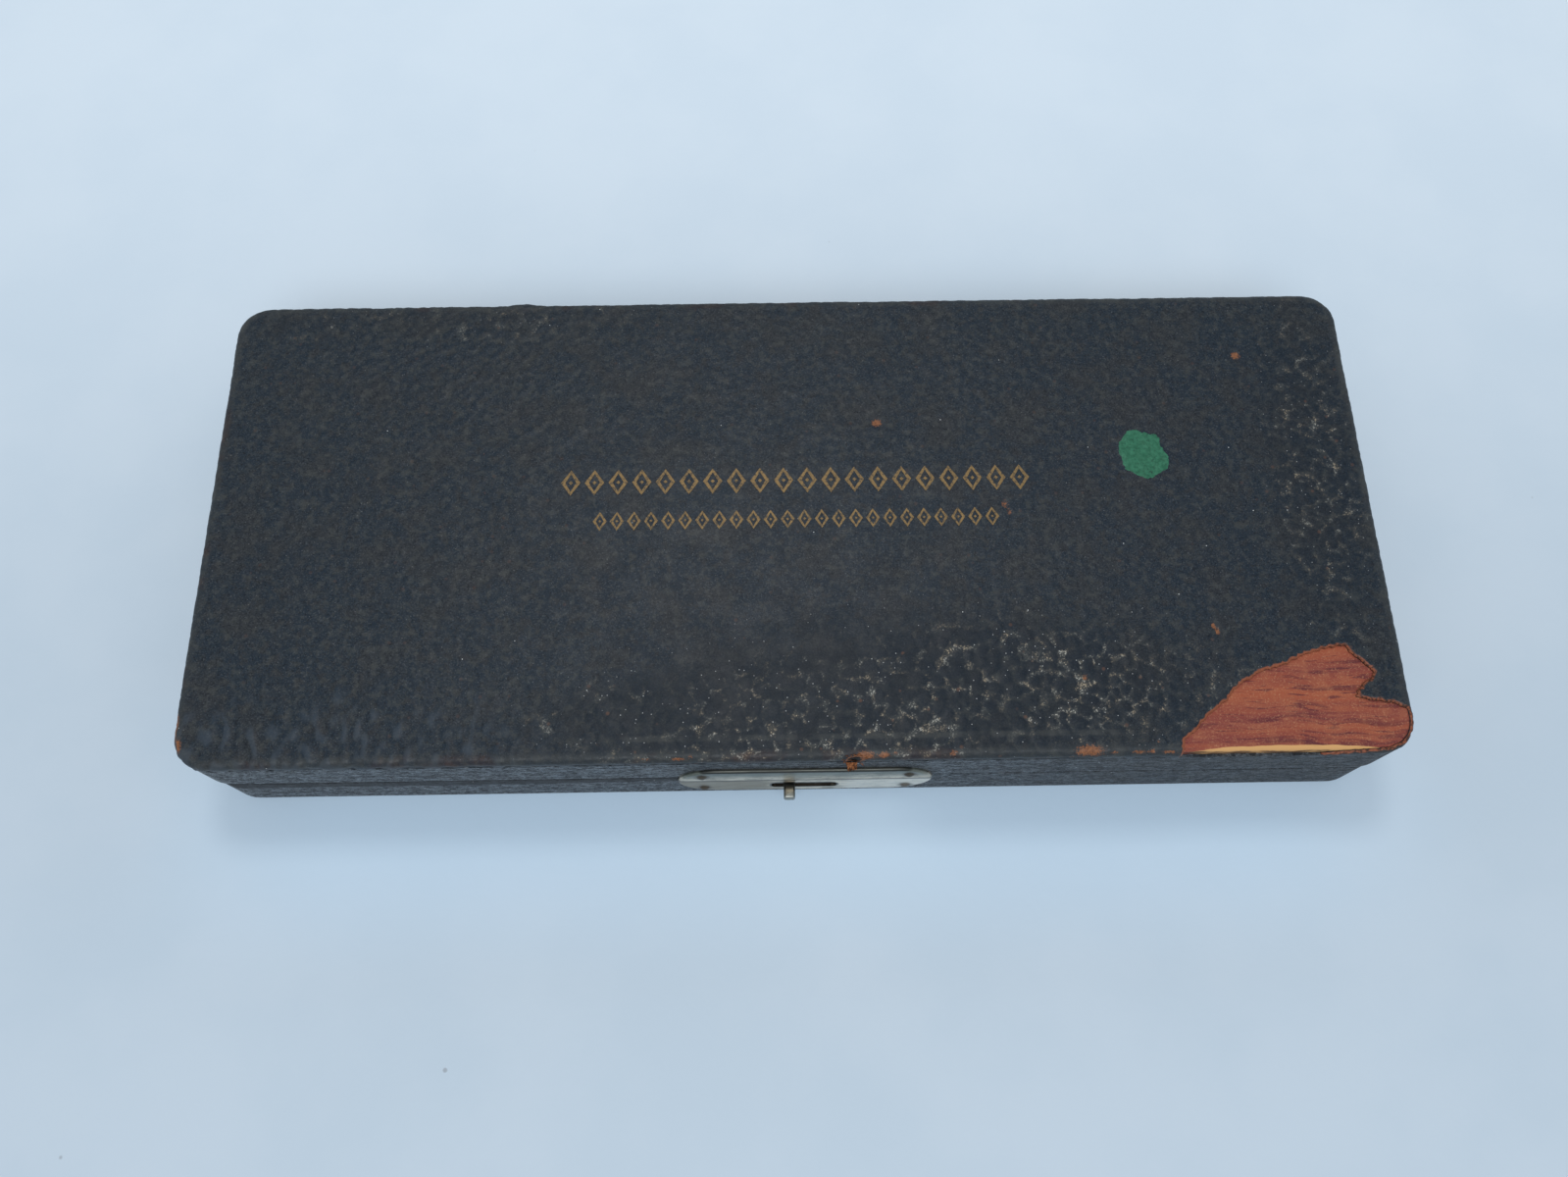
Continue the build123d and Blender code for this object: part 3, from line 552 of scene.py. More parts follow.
def top_sheet(finish):
    """The sheet over the lid's top: one closed skin with its grain, folded over the edge."""
    loop, tear = top_sheet_outline()
    reach = TOP_EDGE_R * (pi / 2 - 1) + SKIRT
    fine, coarse = (hexagonal(HALF + reach, pitch) for pitch in (GRAIN_PITCH, BACK_PITCH))

    def kept(points, margin):
        distance, _ = outside_by(points, HALF + reach, CORNER_R + reach)
        points = points[distance < -margin]
        near_tear = (points[:, 0] > tear[:, 0].min() - 2) & (points[:, 1] < tear[:, 1].max() + 2)
        keep = ~near_tear
        keep[near_tear] = inside(points[near_tear], loop)
        points, near_tear = points[keep], near_tear[keep]
        clear = ~near_tear
        clear[near_tear] = nearest(points[near_tear], tear) > margin
        return points[clear]

    kept_values = {}

    def front(flat):
        near_tear = (flat[:, 0] > TORN_FROM_X) & (flat[:, 1] < TORN_TO_Y)
        tear_distance = np.full(len(flat), 99.0)
        tear_distance[near_tear] = nearest(flat[near_tear], resampled(tear, 0.1))
        heights, creases, worn, folds = relief(flat, tear_distance)
        chipped = reaches(flat, CHIPS)
        hole = reaches(flat, [(*HOLE, 1.0)])
        paint = depth_inside(flat, PAINT_DROP)
        heights += PAINT_FILM * ease(paint, -0.3, 0.3) * (1 - 0.4 * ease(paint, 0.6, 2.0))
        heights -= CHIP_FLOOR * ease(chipped, 0.35, 0.6) + HOLE_DEPTH * ease(hole, 0.35, 0.7)
        kept_values.update(
            crease=creases, worn=worn, fold=folds, chipped=chipped, hole=hole, paint=paint,
            torn=1 - ease(tear_distance, 0.1, 0.75), rubbed=edge_rub(flat),
        )
        points, normal = wrapped(flat)
        return points + normal * heights[:, None]

    def back(flat):
        points, normal = wrapped(flat)
        return points - normal * SHEET

    fine_inner, coarse_inner = kept(fine, GRAIN_PITCH * 0.6), kept(coarse, 2.5)
    piece = closed_body("top_sheet", loop, fine_inner, coarse_inner, front, back)
    for name, values in kept_values.items():
        add_values(piece, name, values)
    return finished(piece, "lid", finish, "leatherette", "lid_top_cover")


class Finish:
    """A material being put together, with its places in millimetres and its colour so far."""

    def __init__(self, name, colour=None, **constants):
        self.colour = colour
        self.material = bpy.data.materials.new(name)
        self.material.use_nodes = True
        self.tree = self.material.node_tree
        self.shader = self.tree.nodes["Principled BSDF"]
        for socket, value in constants.items():
            self.shader.inputs[socket.replace("_", " ")].default_value = value
        coordinates = self.add("ShaderNodeTexCoord")
        self.place = self.vector("SCALE", coordinates.outputs["Object"], scale=1 / MM)

    def add(self, kind, **settings):
        node = self.tree.nodes.new(kind)
        for name, value in settings.items():
            setattr(node, name, value)
        return node

    def feed(self, socket, value):
        if isinstance(value, bpy.types.NodeSocket):
            self.tree.links.new(value, socket)
        elif value is not None:
            socket.default_value = value

    def math(self, operation, *values, clamp=False):
        node = self.add("ShaderNodeMath", operation=operation, use_clamp=clamp)
        for socket, value in zip(node.inputs, values):
            self.feed(socket, value)
        return node.outputs[0]

    def vector(self, operation, first, second=None, scale=None):
        node = self.add("ShaderNodeVectorMath", operation=operation)
        self.feed(node.inputs[0], first)
        self.feed(node.inputs[1], second)
        if scale is not None:
            self.feed(node.inputs["Scale"], scale)
        return node.outputs["Value" if operation in ("LENGTH", "DOT_PRODUCT") else "Vector"]

    def stretched(self, size, place=None):
        """Places divided by a size, or one for each axis, so that a pattern of size 1 takes it."""
        sizes = size if isinstance(size, tuple) else (size,) * 3
        return self.vector("DIVIDE", place or self.place, sizes)

    def noise(self, size, detail=2.0, roughness=0.5, place=None, colour=False):
        node = self.add("ShaderNodeTexNoise")
        self.feed(node.inputs["Vector"], self.stretched(size, place))
        for socket, value in (("Scale", 1.0), ("Detail", detail), ("Roughness", roughness)):
            node.inputs[socket].default_value = value
        return node.outputs["Color" if colour else "Fac"]

    def cells(self, size, feature="F1", place=None, output="Distance"):
        node = self.add("ShaderNodeTexVoronoi", feature=feature)
        self.feed(node.inputs["Vector"], self.stretched(size, place))
        node.inputs["Scale"].default_value = 1.0
        return node.outputs[output]

    def spread(self, value, low, high, to_low=0.0, to_high=1.0):
        """Map a range of values to another, clamped, with soft ends."""
        node = self.add("ShaderNodeMapRange", interpolation_type="SMOOTHSTEP")
        for index, number in enumerate((value, low, high, to_low, to_high)):
            self.feed(node.inputs[index], number)
        return node.outputs[0]

    def blend(self, share, first, second):
        """One colour turning into another."""
        node = self.add("ShaderNodeMix", data_type="RGBA")
        self.feed(node.inputs["Factor"], share)
        self.feed(node.inputs["A"], first if not isinstance(first, tuple) else (*first, 1))
        self.feed(node.inputs["B"], second if not isinstance(second, tuple) else (*second, 1))
        return node.outputs["Result"]

    def lay(self, coat, *shares):
        """Lay a coat over the colour so far, as strong as the product of its shares."""
        self.colour = self.blend(self.times(*shares), self.colour, coat)

    def times(self, *values):
        """The product of several values."""
        product = values[0]
        for value in values[1:]:
            product = self.math("MULTIPLY", product, value)
        return product

    def plus(self, first, second):
        return self.math("ADD", first, second)

    def away(self, value, middle):
        """How far a value lies from a middle, to either side."""
        return self.math("ABSOLUTE", self.math("SUBTRACT", value, middle))

    def specks(self, size, share, keep):
        """Small separate dots: 1 on a dot. Only cells whose random number is above keep have one."""
        distance = self.cells(size)
        chance = self.cells(size, output="Color")
        dot = self.spread(distance, share * 0.5, share, 1.0, 0.0)
        return self.times(dot, self.spread(chance, keep, keep + 0.01))

    def value_on(self, name):
        """A number kept on the mesh."""
        return self.add("ShaderNodeAttribute", attribute_name=name).outputs["Fac"]

    def axis(self, axis):
        """The place along X, Y or Z."""
        split = self.add("ShaderNodeSeparateXYZ")
        self.feed(split.inputs[0], self.place)
        return split.outputs[axis]

    def bump(self, height, distance, strength=1.0):
        """Relief of the given height in millimetres, on top of what was added before."""
        node = self.add("ShaderNodeBump")
        node.inputs["Distance"].default_value = distance * MM
        node.inputs["Strength"].default_value = strength
        self.feed(node.inputs["Height"], height)
        before = self.shader.inputs["Normal"]
        if before.is_linked:
            self.feed(node.inputs["Normal"], before.links[0].from_socket)
        self.feed(before, node.outputs["Normal"])

    def done(self, roughness):
        self.feed(self.shader.inputs["Base Color"], self.colour)
        self.feed(self.shader.inputs["Roughness"], roughness)
        return self.material


def leather_colour(finish):
    """Blue-black with brown drifts, dark pores and a fine pale grain."""
    drift = finish.spread(finish.noise(9.0, 4.0, 0.6), 0.42, 0.70)
    small_drift = finish.spread(finish.noise(2.4, 3.0, 0.6), 0.50, 0.68)
    brown = finish.math("ADD", drift, small_drift, clamp=True)
    finish.lay(BROWN_LEATHER, brown, 0.60)
    pores = finish.spread(finish.noise(0.55, 3.0, 0.7), 0.36, 0.48, 0.88, 0.0)
    finish.lay(PORE_BLACK, pores)
    mottle = finish.spread(finish.noise(1.6, 3.0, 0.6), 0.50, 0.66)
    finish.lay(CREASE_GREY, mottle, 0.45)
    grain = finish.spread(finish.noise(0.32, 2.0, 0.7), 0.50, 0.74)
    finish.lay(GRAIN_GREY, grain, 0.50)


def worn_colour(finish):
    """Dark rubbed cells, hazy creases and dust that glitters where creases meet."""
    crease, worn = finish.value_on("crease"), finish.value_on("worn")
    cloud = finish.spread(finish.noise(8.0, 2.0), 0.36, 0.60)
    some = finish.spread(finish.noise(2.6, 2.0), 0.44, 0.60)
    grit = finish.spread(finish.noise(0.34, 3.0, 0.8), 0.46, 0.64)
    glitter = finish.spread(finish.cells(0.25, output="Color"), 0.58, 0.82)
    finish.lay(RUBBED_BLACK, worn, 0.68)
    haze = finish.plus(finish.times(worn, 0.12), finish.times(grit, 0.50))
    hazy = finish.times(crease, finish.plus(some, 0.30), finish.plus(haze, 0.12))
    finish.lay(CREASE_GREY, hazy)
    meeting = finish.math("POWER", crease, 1.9)
    dusty = finish.times(meeting, worn, cloud, some, finish.plus(glitter, 0.07))
    dust = finish.blend(finish.spread(finish.noise(2.0, 2.0), 0.42, 0.58), DUST_PALE, DUST_BROWN)
    finish.lay(dust, finish.math("MULTIPLY", dusty, 1.75, clamp=True))
    finish.lay(LINT, finish.specks(0.95, 0.14, 0.60), finish.plus(finish.times(worn, 0.60), 0.14))
    finish.lay(EMBER, finish.specks(1.9, 0.26, 0.80), finish.plus(finish.times(worn, 0.35), 0.18))


def edge_colour(finish):
    """The rubbed fold of the sheet and the straight mark pressed in along its front."""
    brown = finish.spread(finish.noise(8.0, 3.0), 0.52, 0.64)
    left = finish.spread(finish.axis("X"), *BROWN_EDGE_X, 1.0, 0.25)
    edge = finish.blend(finish.times(brown, left), EDGE_GREY, EDGE_BROWN)
    finish.lay(edge, finish.value_on("rubbed"), 0.8)
    away = finish.away(finish.axis("Y"), PRESSED_Y)
    along = finish.away(finish.axis("X"), PRESSED_MIDDLE)
    mark = finish.times(
        finish.spread(away, 0.25, 0.85, 0.36, 0.0),
        finish.spread(along, PRESSED_REACH - 12.0, PRESSED_REACH, 1.0, 0.0),
        finish.spread(finish.noise(6.0, 3.0), 0.35, 0.55),
    )
    finish.lay(EDGE_GREY, mark)


def damage_colour(finish):
    """Chips, torn edge and hole down to the sheet's brown core, with painted shade in tear and hole."""
    patches = finish.spread(finish.noise(0.40, 4.0, 0.8), 0.34, 0.66)
    rust = finish.blend(patches, RUST_DARK, RUST_LIGHT)
    chipped = finish.value_on("chipped")
    broken = finish.plus(chipped, finish.times(finish.noise(0.46, 5.0, 0.88), 1.6))
    depth = finish.spread(chipped, 0.10, 0.5, 0.35, 1.0)
    finish.lay(rust, finish.spread(broken, 1.30, 1.44), depth)
    # Painted shadow: the torn edge is darker towards its far right end.
    shadowed_end = finish.spread(finish.axis("X"), *TORN_SHADOW_X)
    fibres = finish.spread(finish.noise(0.55, 3.0), 0.40, 0.62)
    dark = finish.times(finish.plus(fibres, 0.15), finish.plus(finish.times(shadowed_end, 0.6), 0.25))
    torn = finish.blend(dark, TORN_LIGHT, PAINTED_SHADE_BROWN)
    ragged = finish.plus(finish.value_on("torn"), finish.times(finish.noise(1.1, 3.0), 0.9))
    finish.lay(torn, finish.spread(ragged, 0.72, 1.10))
    hollow = finish.plus(finish.value_on("hole"), finish.times(finish.noise(0.6, 3.0), 0.5))
    finish.lay(rust, finish.spread(hollow, 0.66, 0.74))
    # Painted shade: black in the middle of the hole.
    finish.lay(HOLE_SHADE, finish.spread(hollow, 0.80, 0.88))


def paint_colour(finish):
    """The dried drop of green paint, lobed, with a few pores."""
    lobes = finish.times(finish.math("SUBTRACT", finish.noise(0.85, 3.0, 0.6), 0.5), 1.3)
    paint = finish.spread(finish.plus(finish.value_on("paint"), lobes), -0.05, 0.05)
    pores = finish.spread(finish.noise(0.45, 3.0, 0.75), 0.29, 0.39)
    cloud = finish.spread(finish.noise(0.9, 5.0, 0.75), 0.32, 0.68)
    finish.lay(finish.blend(cloud, PAINT_DARK, PAINT_LIGHT), paint, pores)


def top_leatherette():
    """The lid's top sheet, worn, chipped, torn and dripped on, with painted highlights and shade."""
    finish = Finish("leatherette_top", BLACK_LEATHER, Specular_IOR_Level=0.24)
    leather_colour(finish)
    worn_colour(finish)
    # Painted highlight: the tops of the front left folds turn paler and bluer.
    fold = finish.spread(finish.value_on("fold"), 0.0, 0.40)
    finish.lay(FOLD_HIGHLIGHT, fold, 0.60)
    finish.lay(LINT, finish.specks(3.6, 0.042, 0.62), 0.9)
    edge_colour(finish)
    damage_colour(finish)
    paint_colour(finish)
    finish.bump(finish.noise(0.42, 4.0, 0.65), 0.05, 0.8)
    finish.bump(finish.noise(1.3, 2.0), 0.06, 0.6)
    roughness = finish.spread(finish.noise(5.0, 3.0), 0.3, 0.7, 0.38, 0.50)
    creased = finish.times(finish.value_on("crease"), 0.12)
    return finish.done(finish.plus(roughness, creased))


def side_leatherette():
    """Sides and underside: glossy wrinkles drawn out along the edges, with painted highlights and shade."""
    finish = Finish("leatherette_sides", BLACK_LEATHER, Specular_IOR_Level=0.76)
    leather_colour(finish)
    stray = finish.vector("SCALE", finish.noise(4.0, 2.0, colour=True), scale=1.4)
    place = finish.vector("ADD", finish.place, stray)
    streak = finish.noise((4.2, 4.2, 1.5), 4.0, 0.62, place)
    fine_streak = finish.noise((1.7, 1.7, 0.60), 3.0, 0.6, place)
    broken = finish.spread(finish.noise(0.6, 3.0, 0.7), 0.32, 0.56)
    upright = finish.spread(finish.axis("Z"), 0.2, 0.9)
    right = finish.spread(finish.axis("X"), *FAINTER_HIGHLIGHT_X, 0.90, 0.34)
    # How strong the painted highlights are: fainter towards the right and near the bottom.
    pale = finish.times(broken, right, upright, 0.30)
    line = finish.away(streak, 0.53)
    crest_highlight = finish.spread(line, 0.0, 0.055, 0.90, 0.0)
    fine_line = finish.away(fine_streak, 0.56)
    fine_crest_highlight = finish.spread(fine_line, 0.0, 0.055, 0.60, 0.0)
    ragged = finish.plus(streak, finish.times(finish.math("SUBTRACT", broken, 0.5), 0.05))
    fold = finish.away(ragged, 0.46)
    fine_fold = finish.away(fine_streak, 0.46)
    fine_crease = finish.spread(fine_fold, 0.0, 0.07, 0.75, 0.0)
    creased = finish.math("MAXIMUM", finish.spread(fold, 0.0, 0.05, 0.95, 0.0), fine_crease)
    # Painted shade darkening the wrinkles' creases.
    crease_shade = finish.times(creased, upright, 0.85)
    finish.lay(PAINTED_SHADE_DARK, crease_shade)
    # Painted highlights on the wrinkles' crests.
    finish.lay(WRINKLE_HIGHLIGHT, crest_highlight, pale)
    finish.lay(WRINKLE_HIGHLIGHT, fine_crest_highlight, pale)
    # Painted shade: a dark line in the gap at the joint, and below it the shadow of the lid's overhang on
    # the base.
    below = finish.math("SUBTRACT", JOINT_Z, finish.axis("Z"))
    joint = finish.spread(finish.math("ABSOLUTE", below), 0.25, 0.60, 0.85, 0.0)
    foot = finish.spread(finish.axis("X"), *LID_SHADOW_DEPTH_X, *LID_SHADOW_DEPTH)
    band = finish.times(
        finish.spread(below, 0.0, 0.5),
        finish.spread(finish.math("DIVIDE", below, foot), 0.65, 1.0, 1.0, 0.0),
        finish.spread(finish.axis("X"), *LID_SHADOW_END_X, 0.62, 0.0),
        finish.spread(finish.axis("Y"), *LID_SHADOW_FRONT_Y, 1.0, 0.0),
    )
    shaded = finish.math("MAXIMUM", joint, band)
    finish.lay(PAINTED_SHADE_DARK, shaded)
    # Painted highlight: a pale line along the lid's lower edge, just above the joint.
    rim = finish.spread(finish.away(below, -HIGHLIGHT_RIM_ABOVE), 0.20, 0.50, 0.55, 0.0)
    finish.lay(WRINKLE_HIGHLIGHT, rim, broken)
    finish.lay(EMBER, finish.specks(5.0, 0.13, 0.82), 0.8)
    finish.lay(LINT, finish.specks(3.4, 0.06, 0.7))
    valley = finish.spread(finish.cells((3.2, 3.2, 1.7), "DISTANCE_TO_EDGE", place=place), 0.0, 0.16)
    finish.bump(streak, 1.10, 1.0)
    finish.bump(fine_streak, 0.50, 1.0)
    finish.bump(valley, 0.10, 0.8)
    finish.bump(finish.noise(0.4, 4.0, 0.65), 0.04, 0.7)
    bright, smooth = (finish.math("SUBTRACT", 1.0, share) for share in (shaded, creased))
    gloss = finish.times(smooth, finish.plus(finish.times(right, 0.6), 0.4), bright)
    return finish.done(finish.spread(gloss, 0.0, 1.0, 1.0, 0.28))


def wood(name, pale, dark, fleck, streak):
    """Unvarnished wood with its grain along X."""
    finish = Finish(name, pale, Specular_IOR_Level=0.3)
    bend = finish.vector("SCALE", finish.noise(26.0, 2.0, colour=True), scale=5.0)
    place = finish.vector("ADD", finish.place, bend)
    bands = finish.noise((55.0, 5.0, 5.0), 3.0, 0.5, place)
    grain = finish.noise((30.0, 1.1, 1.1), 4.0, 0.65, place)
    long_streak = finish.noise((26.0, 1.5, 1.5), 3.0, 0.55, place)
    short_streak = finish.noise((7.0, 0.6, 0.6), 2.0, 0.5, place)
    finish.lay(dark, finish.spread(bands, 0.36, 0.64))
    finish.lay(fleck, finish.spread(grain, 0.48, 0.74), 0.45)
    finish.lay(streak, finish.spread(long_streak, 0.54, 0.63, 0.0, 0.66))
    finish.lay(streak, finish.spread(short_streak, 0.57, 0.66, 0.0, 0.80))
    finish.bump(finish.spread(long_streak, 0.60, 0.68, 1.0, 0.0), 0.08, 0.7)
    finish.bump(grain, 0.05, 0.7)
    return finish


def board_wood():
    """The lid's top board: reddish brown and grainy, with pale bare fibres along its front edge."""
    finish = wood("board_wood", *BOARD)
    _, _, fleck, streak = BOARD
    mottle = finish.spread(finish.noise(3.5, 4.0, 0.65), 0.45, 0.70)
    finish.lay(fleck, mottle, 0.35)
    fine = finish.spread(finish.noise(0.36, 3.0, 0.8), 0.52, 0.68)
    finish.lay(BOARD_SPECK, fine, 0.48)
    pits = finish.spread(finish.noise(0.9, 4.0, 0.8), 0.30, 0.38, 0.55, 0.0)
    finish.lay(streak, pits)
    across = finish.math("DIVIDE", finish.math("SUBTRACT", finish.axis("X"), STRIP_MIDDLE), STRIP_REACH)
    taper = finish.times(finish.math("POWER", finish.math("ABSOLUTE", across), 3.0), STRIP_WIDTH)
    front = finish.plus(finish.axis("Y"), taper)
    front = finish.plus(front, finish.times(finish.noise((5.0, 1.0, 1.0), 3.0), 0.7))
    strip = finish.spread(front, STRIP_Y - 0.12, STRIP_Y + 0.12, 1.0, 0.0)
    finish.lay(BARE_STRIP, strip)
    # Painted shadow: a dark line along the board's front edge, in front of the bare strip.
    line = finish.plus(finish.axis("Y"), finish.times(finish.noise((3.0, 1.0, 1.0), 3.0), 0.5))
    finish.lay(PAINTED_SHADE_BROWN, finish.spread(line, BOARD_FRONT + 0.20, BOARD_FRONT + 0.36, 0.9, 0.0))
    return finish.done(0.72)


def carcass_wood():
    """Rails and bottom board."""
    return wood("carcass_wood", *RAILS).done(0.7)


def nickel(name, clean, stained, roughness=0.40):
    """Dull nickel plate, clouded, grimy in spots and finely scratched."""
    finish = Finish(name, clean, Metallic=1.0)
    cloud = finish.spread(finish.noise((6.0, 3.5, 2.5), 5.0, 0.70), 0.42, 0.62)
    finish.lay(stained, cloud)
    grime = finish.spread(finish.noise(1.2, 4.0, 0.7), 0.53, 0.72)
    finish.lay(NICKEL_GRIME, grime, 0.65)
    scratch = finish.noise((7.0, 1.0, 0.35), 3.0, 0.6)
    finish.bump(scratch, 0.012, 0.6)
    finish.bump(finish.noise((5.0, 2.6, 2.6), 2.0), 0.10, 0.6)
    return finish, finish.spread(scratch, 0.3, 0.7, roughness - 0.08, roughness + 0.08)


def plate_nickel():
    """Nickel of the catch's plates: painted olive shade at top, brown at left, dark at joint and slot."""
    finish, roughness = nickel("nickel", *PLATE_NICKEL)
    height = finish.axis("Z")
    # Painted shade: olive and darker towards the plates' top.
    shade = finish.plus(height, finish.times(finish.noise((9.0, 2.0, 2.0), 3.0), 3.0))
    finish.lay(NICKEL_TOP_SHADE, finish.spread(shade, *TOP_SHADE_Z, 0.0, 0.88))
    low_half = finish.spread(height, JOINT_Z - 0.5, JOINT_Z, 1.0, 0.0)
    clean = finish.times(finish.spread(finish.axis("X"), *BRIGHT_X, 0.0, 0.6), low_half)
    finish.lay(NICKEL_BRIGHT, clean)
    left_stain = finish.plus(finish.axis("X"), finish.times(finish.noise(3.0, 3.0), 6.0))
    stain = finish.times(finish.spread(left_stain, *STAINED_X, 0.88, 0.0), low_half)
    finish.lay(NICKEL_STAIN, stain)
    joint = finish.away(height, JOINT_Z)
    finish.lay(JOINT_GRIME, finish.spread(joint, 0.35, 0.9, 0.9, 0.0))
    for x in PIN_X:
        for z in PIN_Z:
            away = finish.vector("SUBTRACT", finish.place, (x, 0, z))
            reach = finish.vector("LENGTH", finish.vector("MULTIPLY", away, (1, 0, 0.8)))
            ragged = finish.plus(reach, finish.times(finish.noise(1.0, 3.0), 1.4))
            finish.lay(PIN_GRIME, finish.spread(ragged, 1.5, 2.8, 0.85, 0.0))
    # Grime and painted shade round the slot.
    away = finish.vector("SUBTRACT", finish.place, SLOT_MIDDLE)
    away = finish.vector("ABSOLUTE", finish.vector("MULTIPLY", away, (1, 0, 1)))
    past = finish.vector("MAXIMUM", finish.vector("SUBTRACT", away, SLOT_HALF), (0, 0, 0))
    ragged = finish.plus(finish.vector("LENGTH", past), finish.times(finish.noise(0.9, 3.0), 0.5))
    finish.lay(SLOT_GRIME_AND_SHADE, finish.spread(ragged, 2.05, 2.6, 0.95, 0.0))
    # Painted shade along the upper plate's top edge.
    finish.lay(NICKEL_EDGE_SHADE, finish.spread(height, *TOP_EDGE_SHADE_Z, 0.0, 0.93))
    return finish.done(roughness)


def plain_nickel(name, clean, stained, roughness):
    """Nickel of the bolt or the stud."""
    finish, roughness = nickel(name, clean, stained, roughness)
    return finish.done(roughness)


def brass():
    """Dull brass of hinges, screws and pins."""
    finish = Finish("brass", BRASS_BRIGHT, Metallic=1.0)
    cloud = finish.spread(finish.noise(2.5, 5.0, 0.65), 0.38, 0.66)
    finish.lay(BRASS_DULL, cloud)
    finish.bump(finish.noise((4.0, 0.3, 0.3), 3.0), 0.012, 0.6)
    return finish.done(finish.spread(cloud, 0.0, 1.0, 0.30, 0.52))


def velvet(name, colour, crushed):
    """Short-pile velvet with crushed, shiny patches."""
    finish = Finish(
        name, colour, Sheen_Weight=0.8, Sheen_Roughness=0.35, Sheen_Tint=VELVET_SHEEN,
        Specular_IOR_Level=0.15,
    )
    nap = finish.spread(finish.noise(9.0, 4.0, 0.6), 0.36, 0.66)
    finish.lay(crushed, nap, 0.8)
    pile = finish.noise(0.22, 3.0, 0.7)
    roots = tuple(channel * 0.35 for channel in colour)
    finish.lay(roots, finish.spread(pile, 0.35, 0.75), 0.5)
    finish.lay(VELVET_LINT, finish.specks(6.0, 0.05, 0.7))
    finish.bump(pile, 0.12, 0.8)
    finish.bump(nap, 0.25, 0.5)
    return finish.done(0.95)


def gold():
    """Stamped gold leaf, rubbed down to the leather in places."""
    finish = Finish("gold_leaf", RUBBED_THROUGH, Specular_IOR_Level=0.4)
    left = finish.spread(finish.noise(0.6, 5.0, 0.8), 0.36, 0.54)
    finish.lay(finish.blend(finish.noise(2.0, 3.0), GOLD_DARK, GOLD_LIGHT), left)
    finish.bump(finish.noise(0.4, 3.0), 0.03, 0.6)
    finish.feed(finish.shader.inputs["Metallic"], finish.times(left, 0.35))
    return finish.done(0.5)


def raw_leather():
    """Bare fibres of the sheet round its hole."""
    finish = Finish("raw_leather", RUST_DARK, Specular_IOR_Level=0.2)
    fibre = finish.spread(finish.noise((0.5, 0.5, 1.2), 4.0, 0.7), 0.35, 0.65)
    finish.lay(FIBRE_LIGHT, fibre)
    finish.bump(fibre, 0.15, 0.8)
    return finish.done(0.85)


def table_top():
    """The pale table: painted light, brighter at the back and a bluish glow along the box's front."""
    finish = Finish("table_top", Specular_IOR_Level=0.2)
    cloud = finish.spread(finish.noise(45.0, 4.0, 0.55), 0.35, 0.65)
    finish.colour, far = (finish.blend(cloud, *pair) for pair in (TABLE_NEAR, TABLE_LIT_FAR))
    # Painted light: the table turns brighter and paler towards the back.
    finish.lay(far, finish.spread(finish.axis("Y"), *LIT_FAR_Y))
    # Painted bluish glow along the box's front, which lightens the box's shadow there.
    shade = finish.times(
        finish.spread(finish.axis("Y"), *GLOW_FRONT_Y),
        finish.spread(finish.math("ABSOLUTE", finish.axis("X")), *GLOW_END_X, 1.0, 0.0),
        finish.spread(finish.axis("Y"), *GLOW_BACK_Y, 1.0, 0.0),
    )
    finish.lay(TABLE_PAINTED_GLOW, shade, 0.85)
    finish.lay(TABLE_DIRT, finish.specks(15.0, 0.040, 0.72), 0.6)
    finish.bump(finish.noise(2.5, 4.0), 0.10, 0.4)
    return finish.done(0.6)


def velvet_pad(finish):
    """The pad under the lid's board: full in the middle and drawn in at its edge."""
    low, high = box_of("lid_pad")
    half, thickness = high[:2], high[2] - low[2]
    loop = rounded_rectangle(half, PAD_CORNER_R, 1.2)
    broad, small = PAD_DENTS

    def face(flat):
        distance, _ = outside_by(flat, half, PAD_CORNER_R)
        swell = 1 - np.exp(np.minimum(distance, 0) / PAD_DRAW)
        dents = broad * np.array([waves(x / 24, y / 19, 1.0) for x, y in flat])
        dents += small * np.array([waves(x / 6, y / 5, 2.0) for x, y in flat])
        drop = (thickness - PAD_EDGE) * swell + (dents - 0.05) * swell
        return np.column_stack([flat, high[2] - np.minimum(drop + 0.02, thickness)])

    def back(flat):
        return np.column_stack([flat, np.full(len(flat), high[2])])

    def kept(pitch):
        points = hexagonal(half, pitch)
        return points[outside_by(points, half, PAD_CORNER_R)[0] < -pitch * 0.5]

    piece = closed_body("velvet_pad", loop, kept(PAD_PITCH), kept(PAD_BACK_PITCH), face, back)
    point_outwards(piece)
    finished(piece, "lid", finish, "velvet", "lid_pad")
    return piece


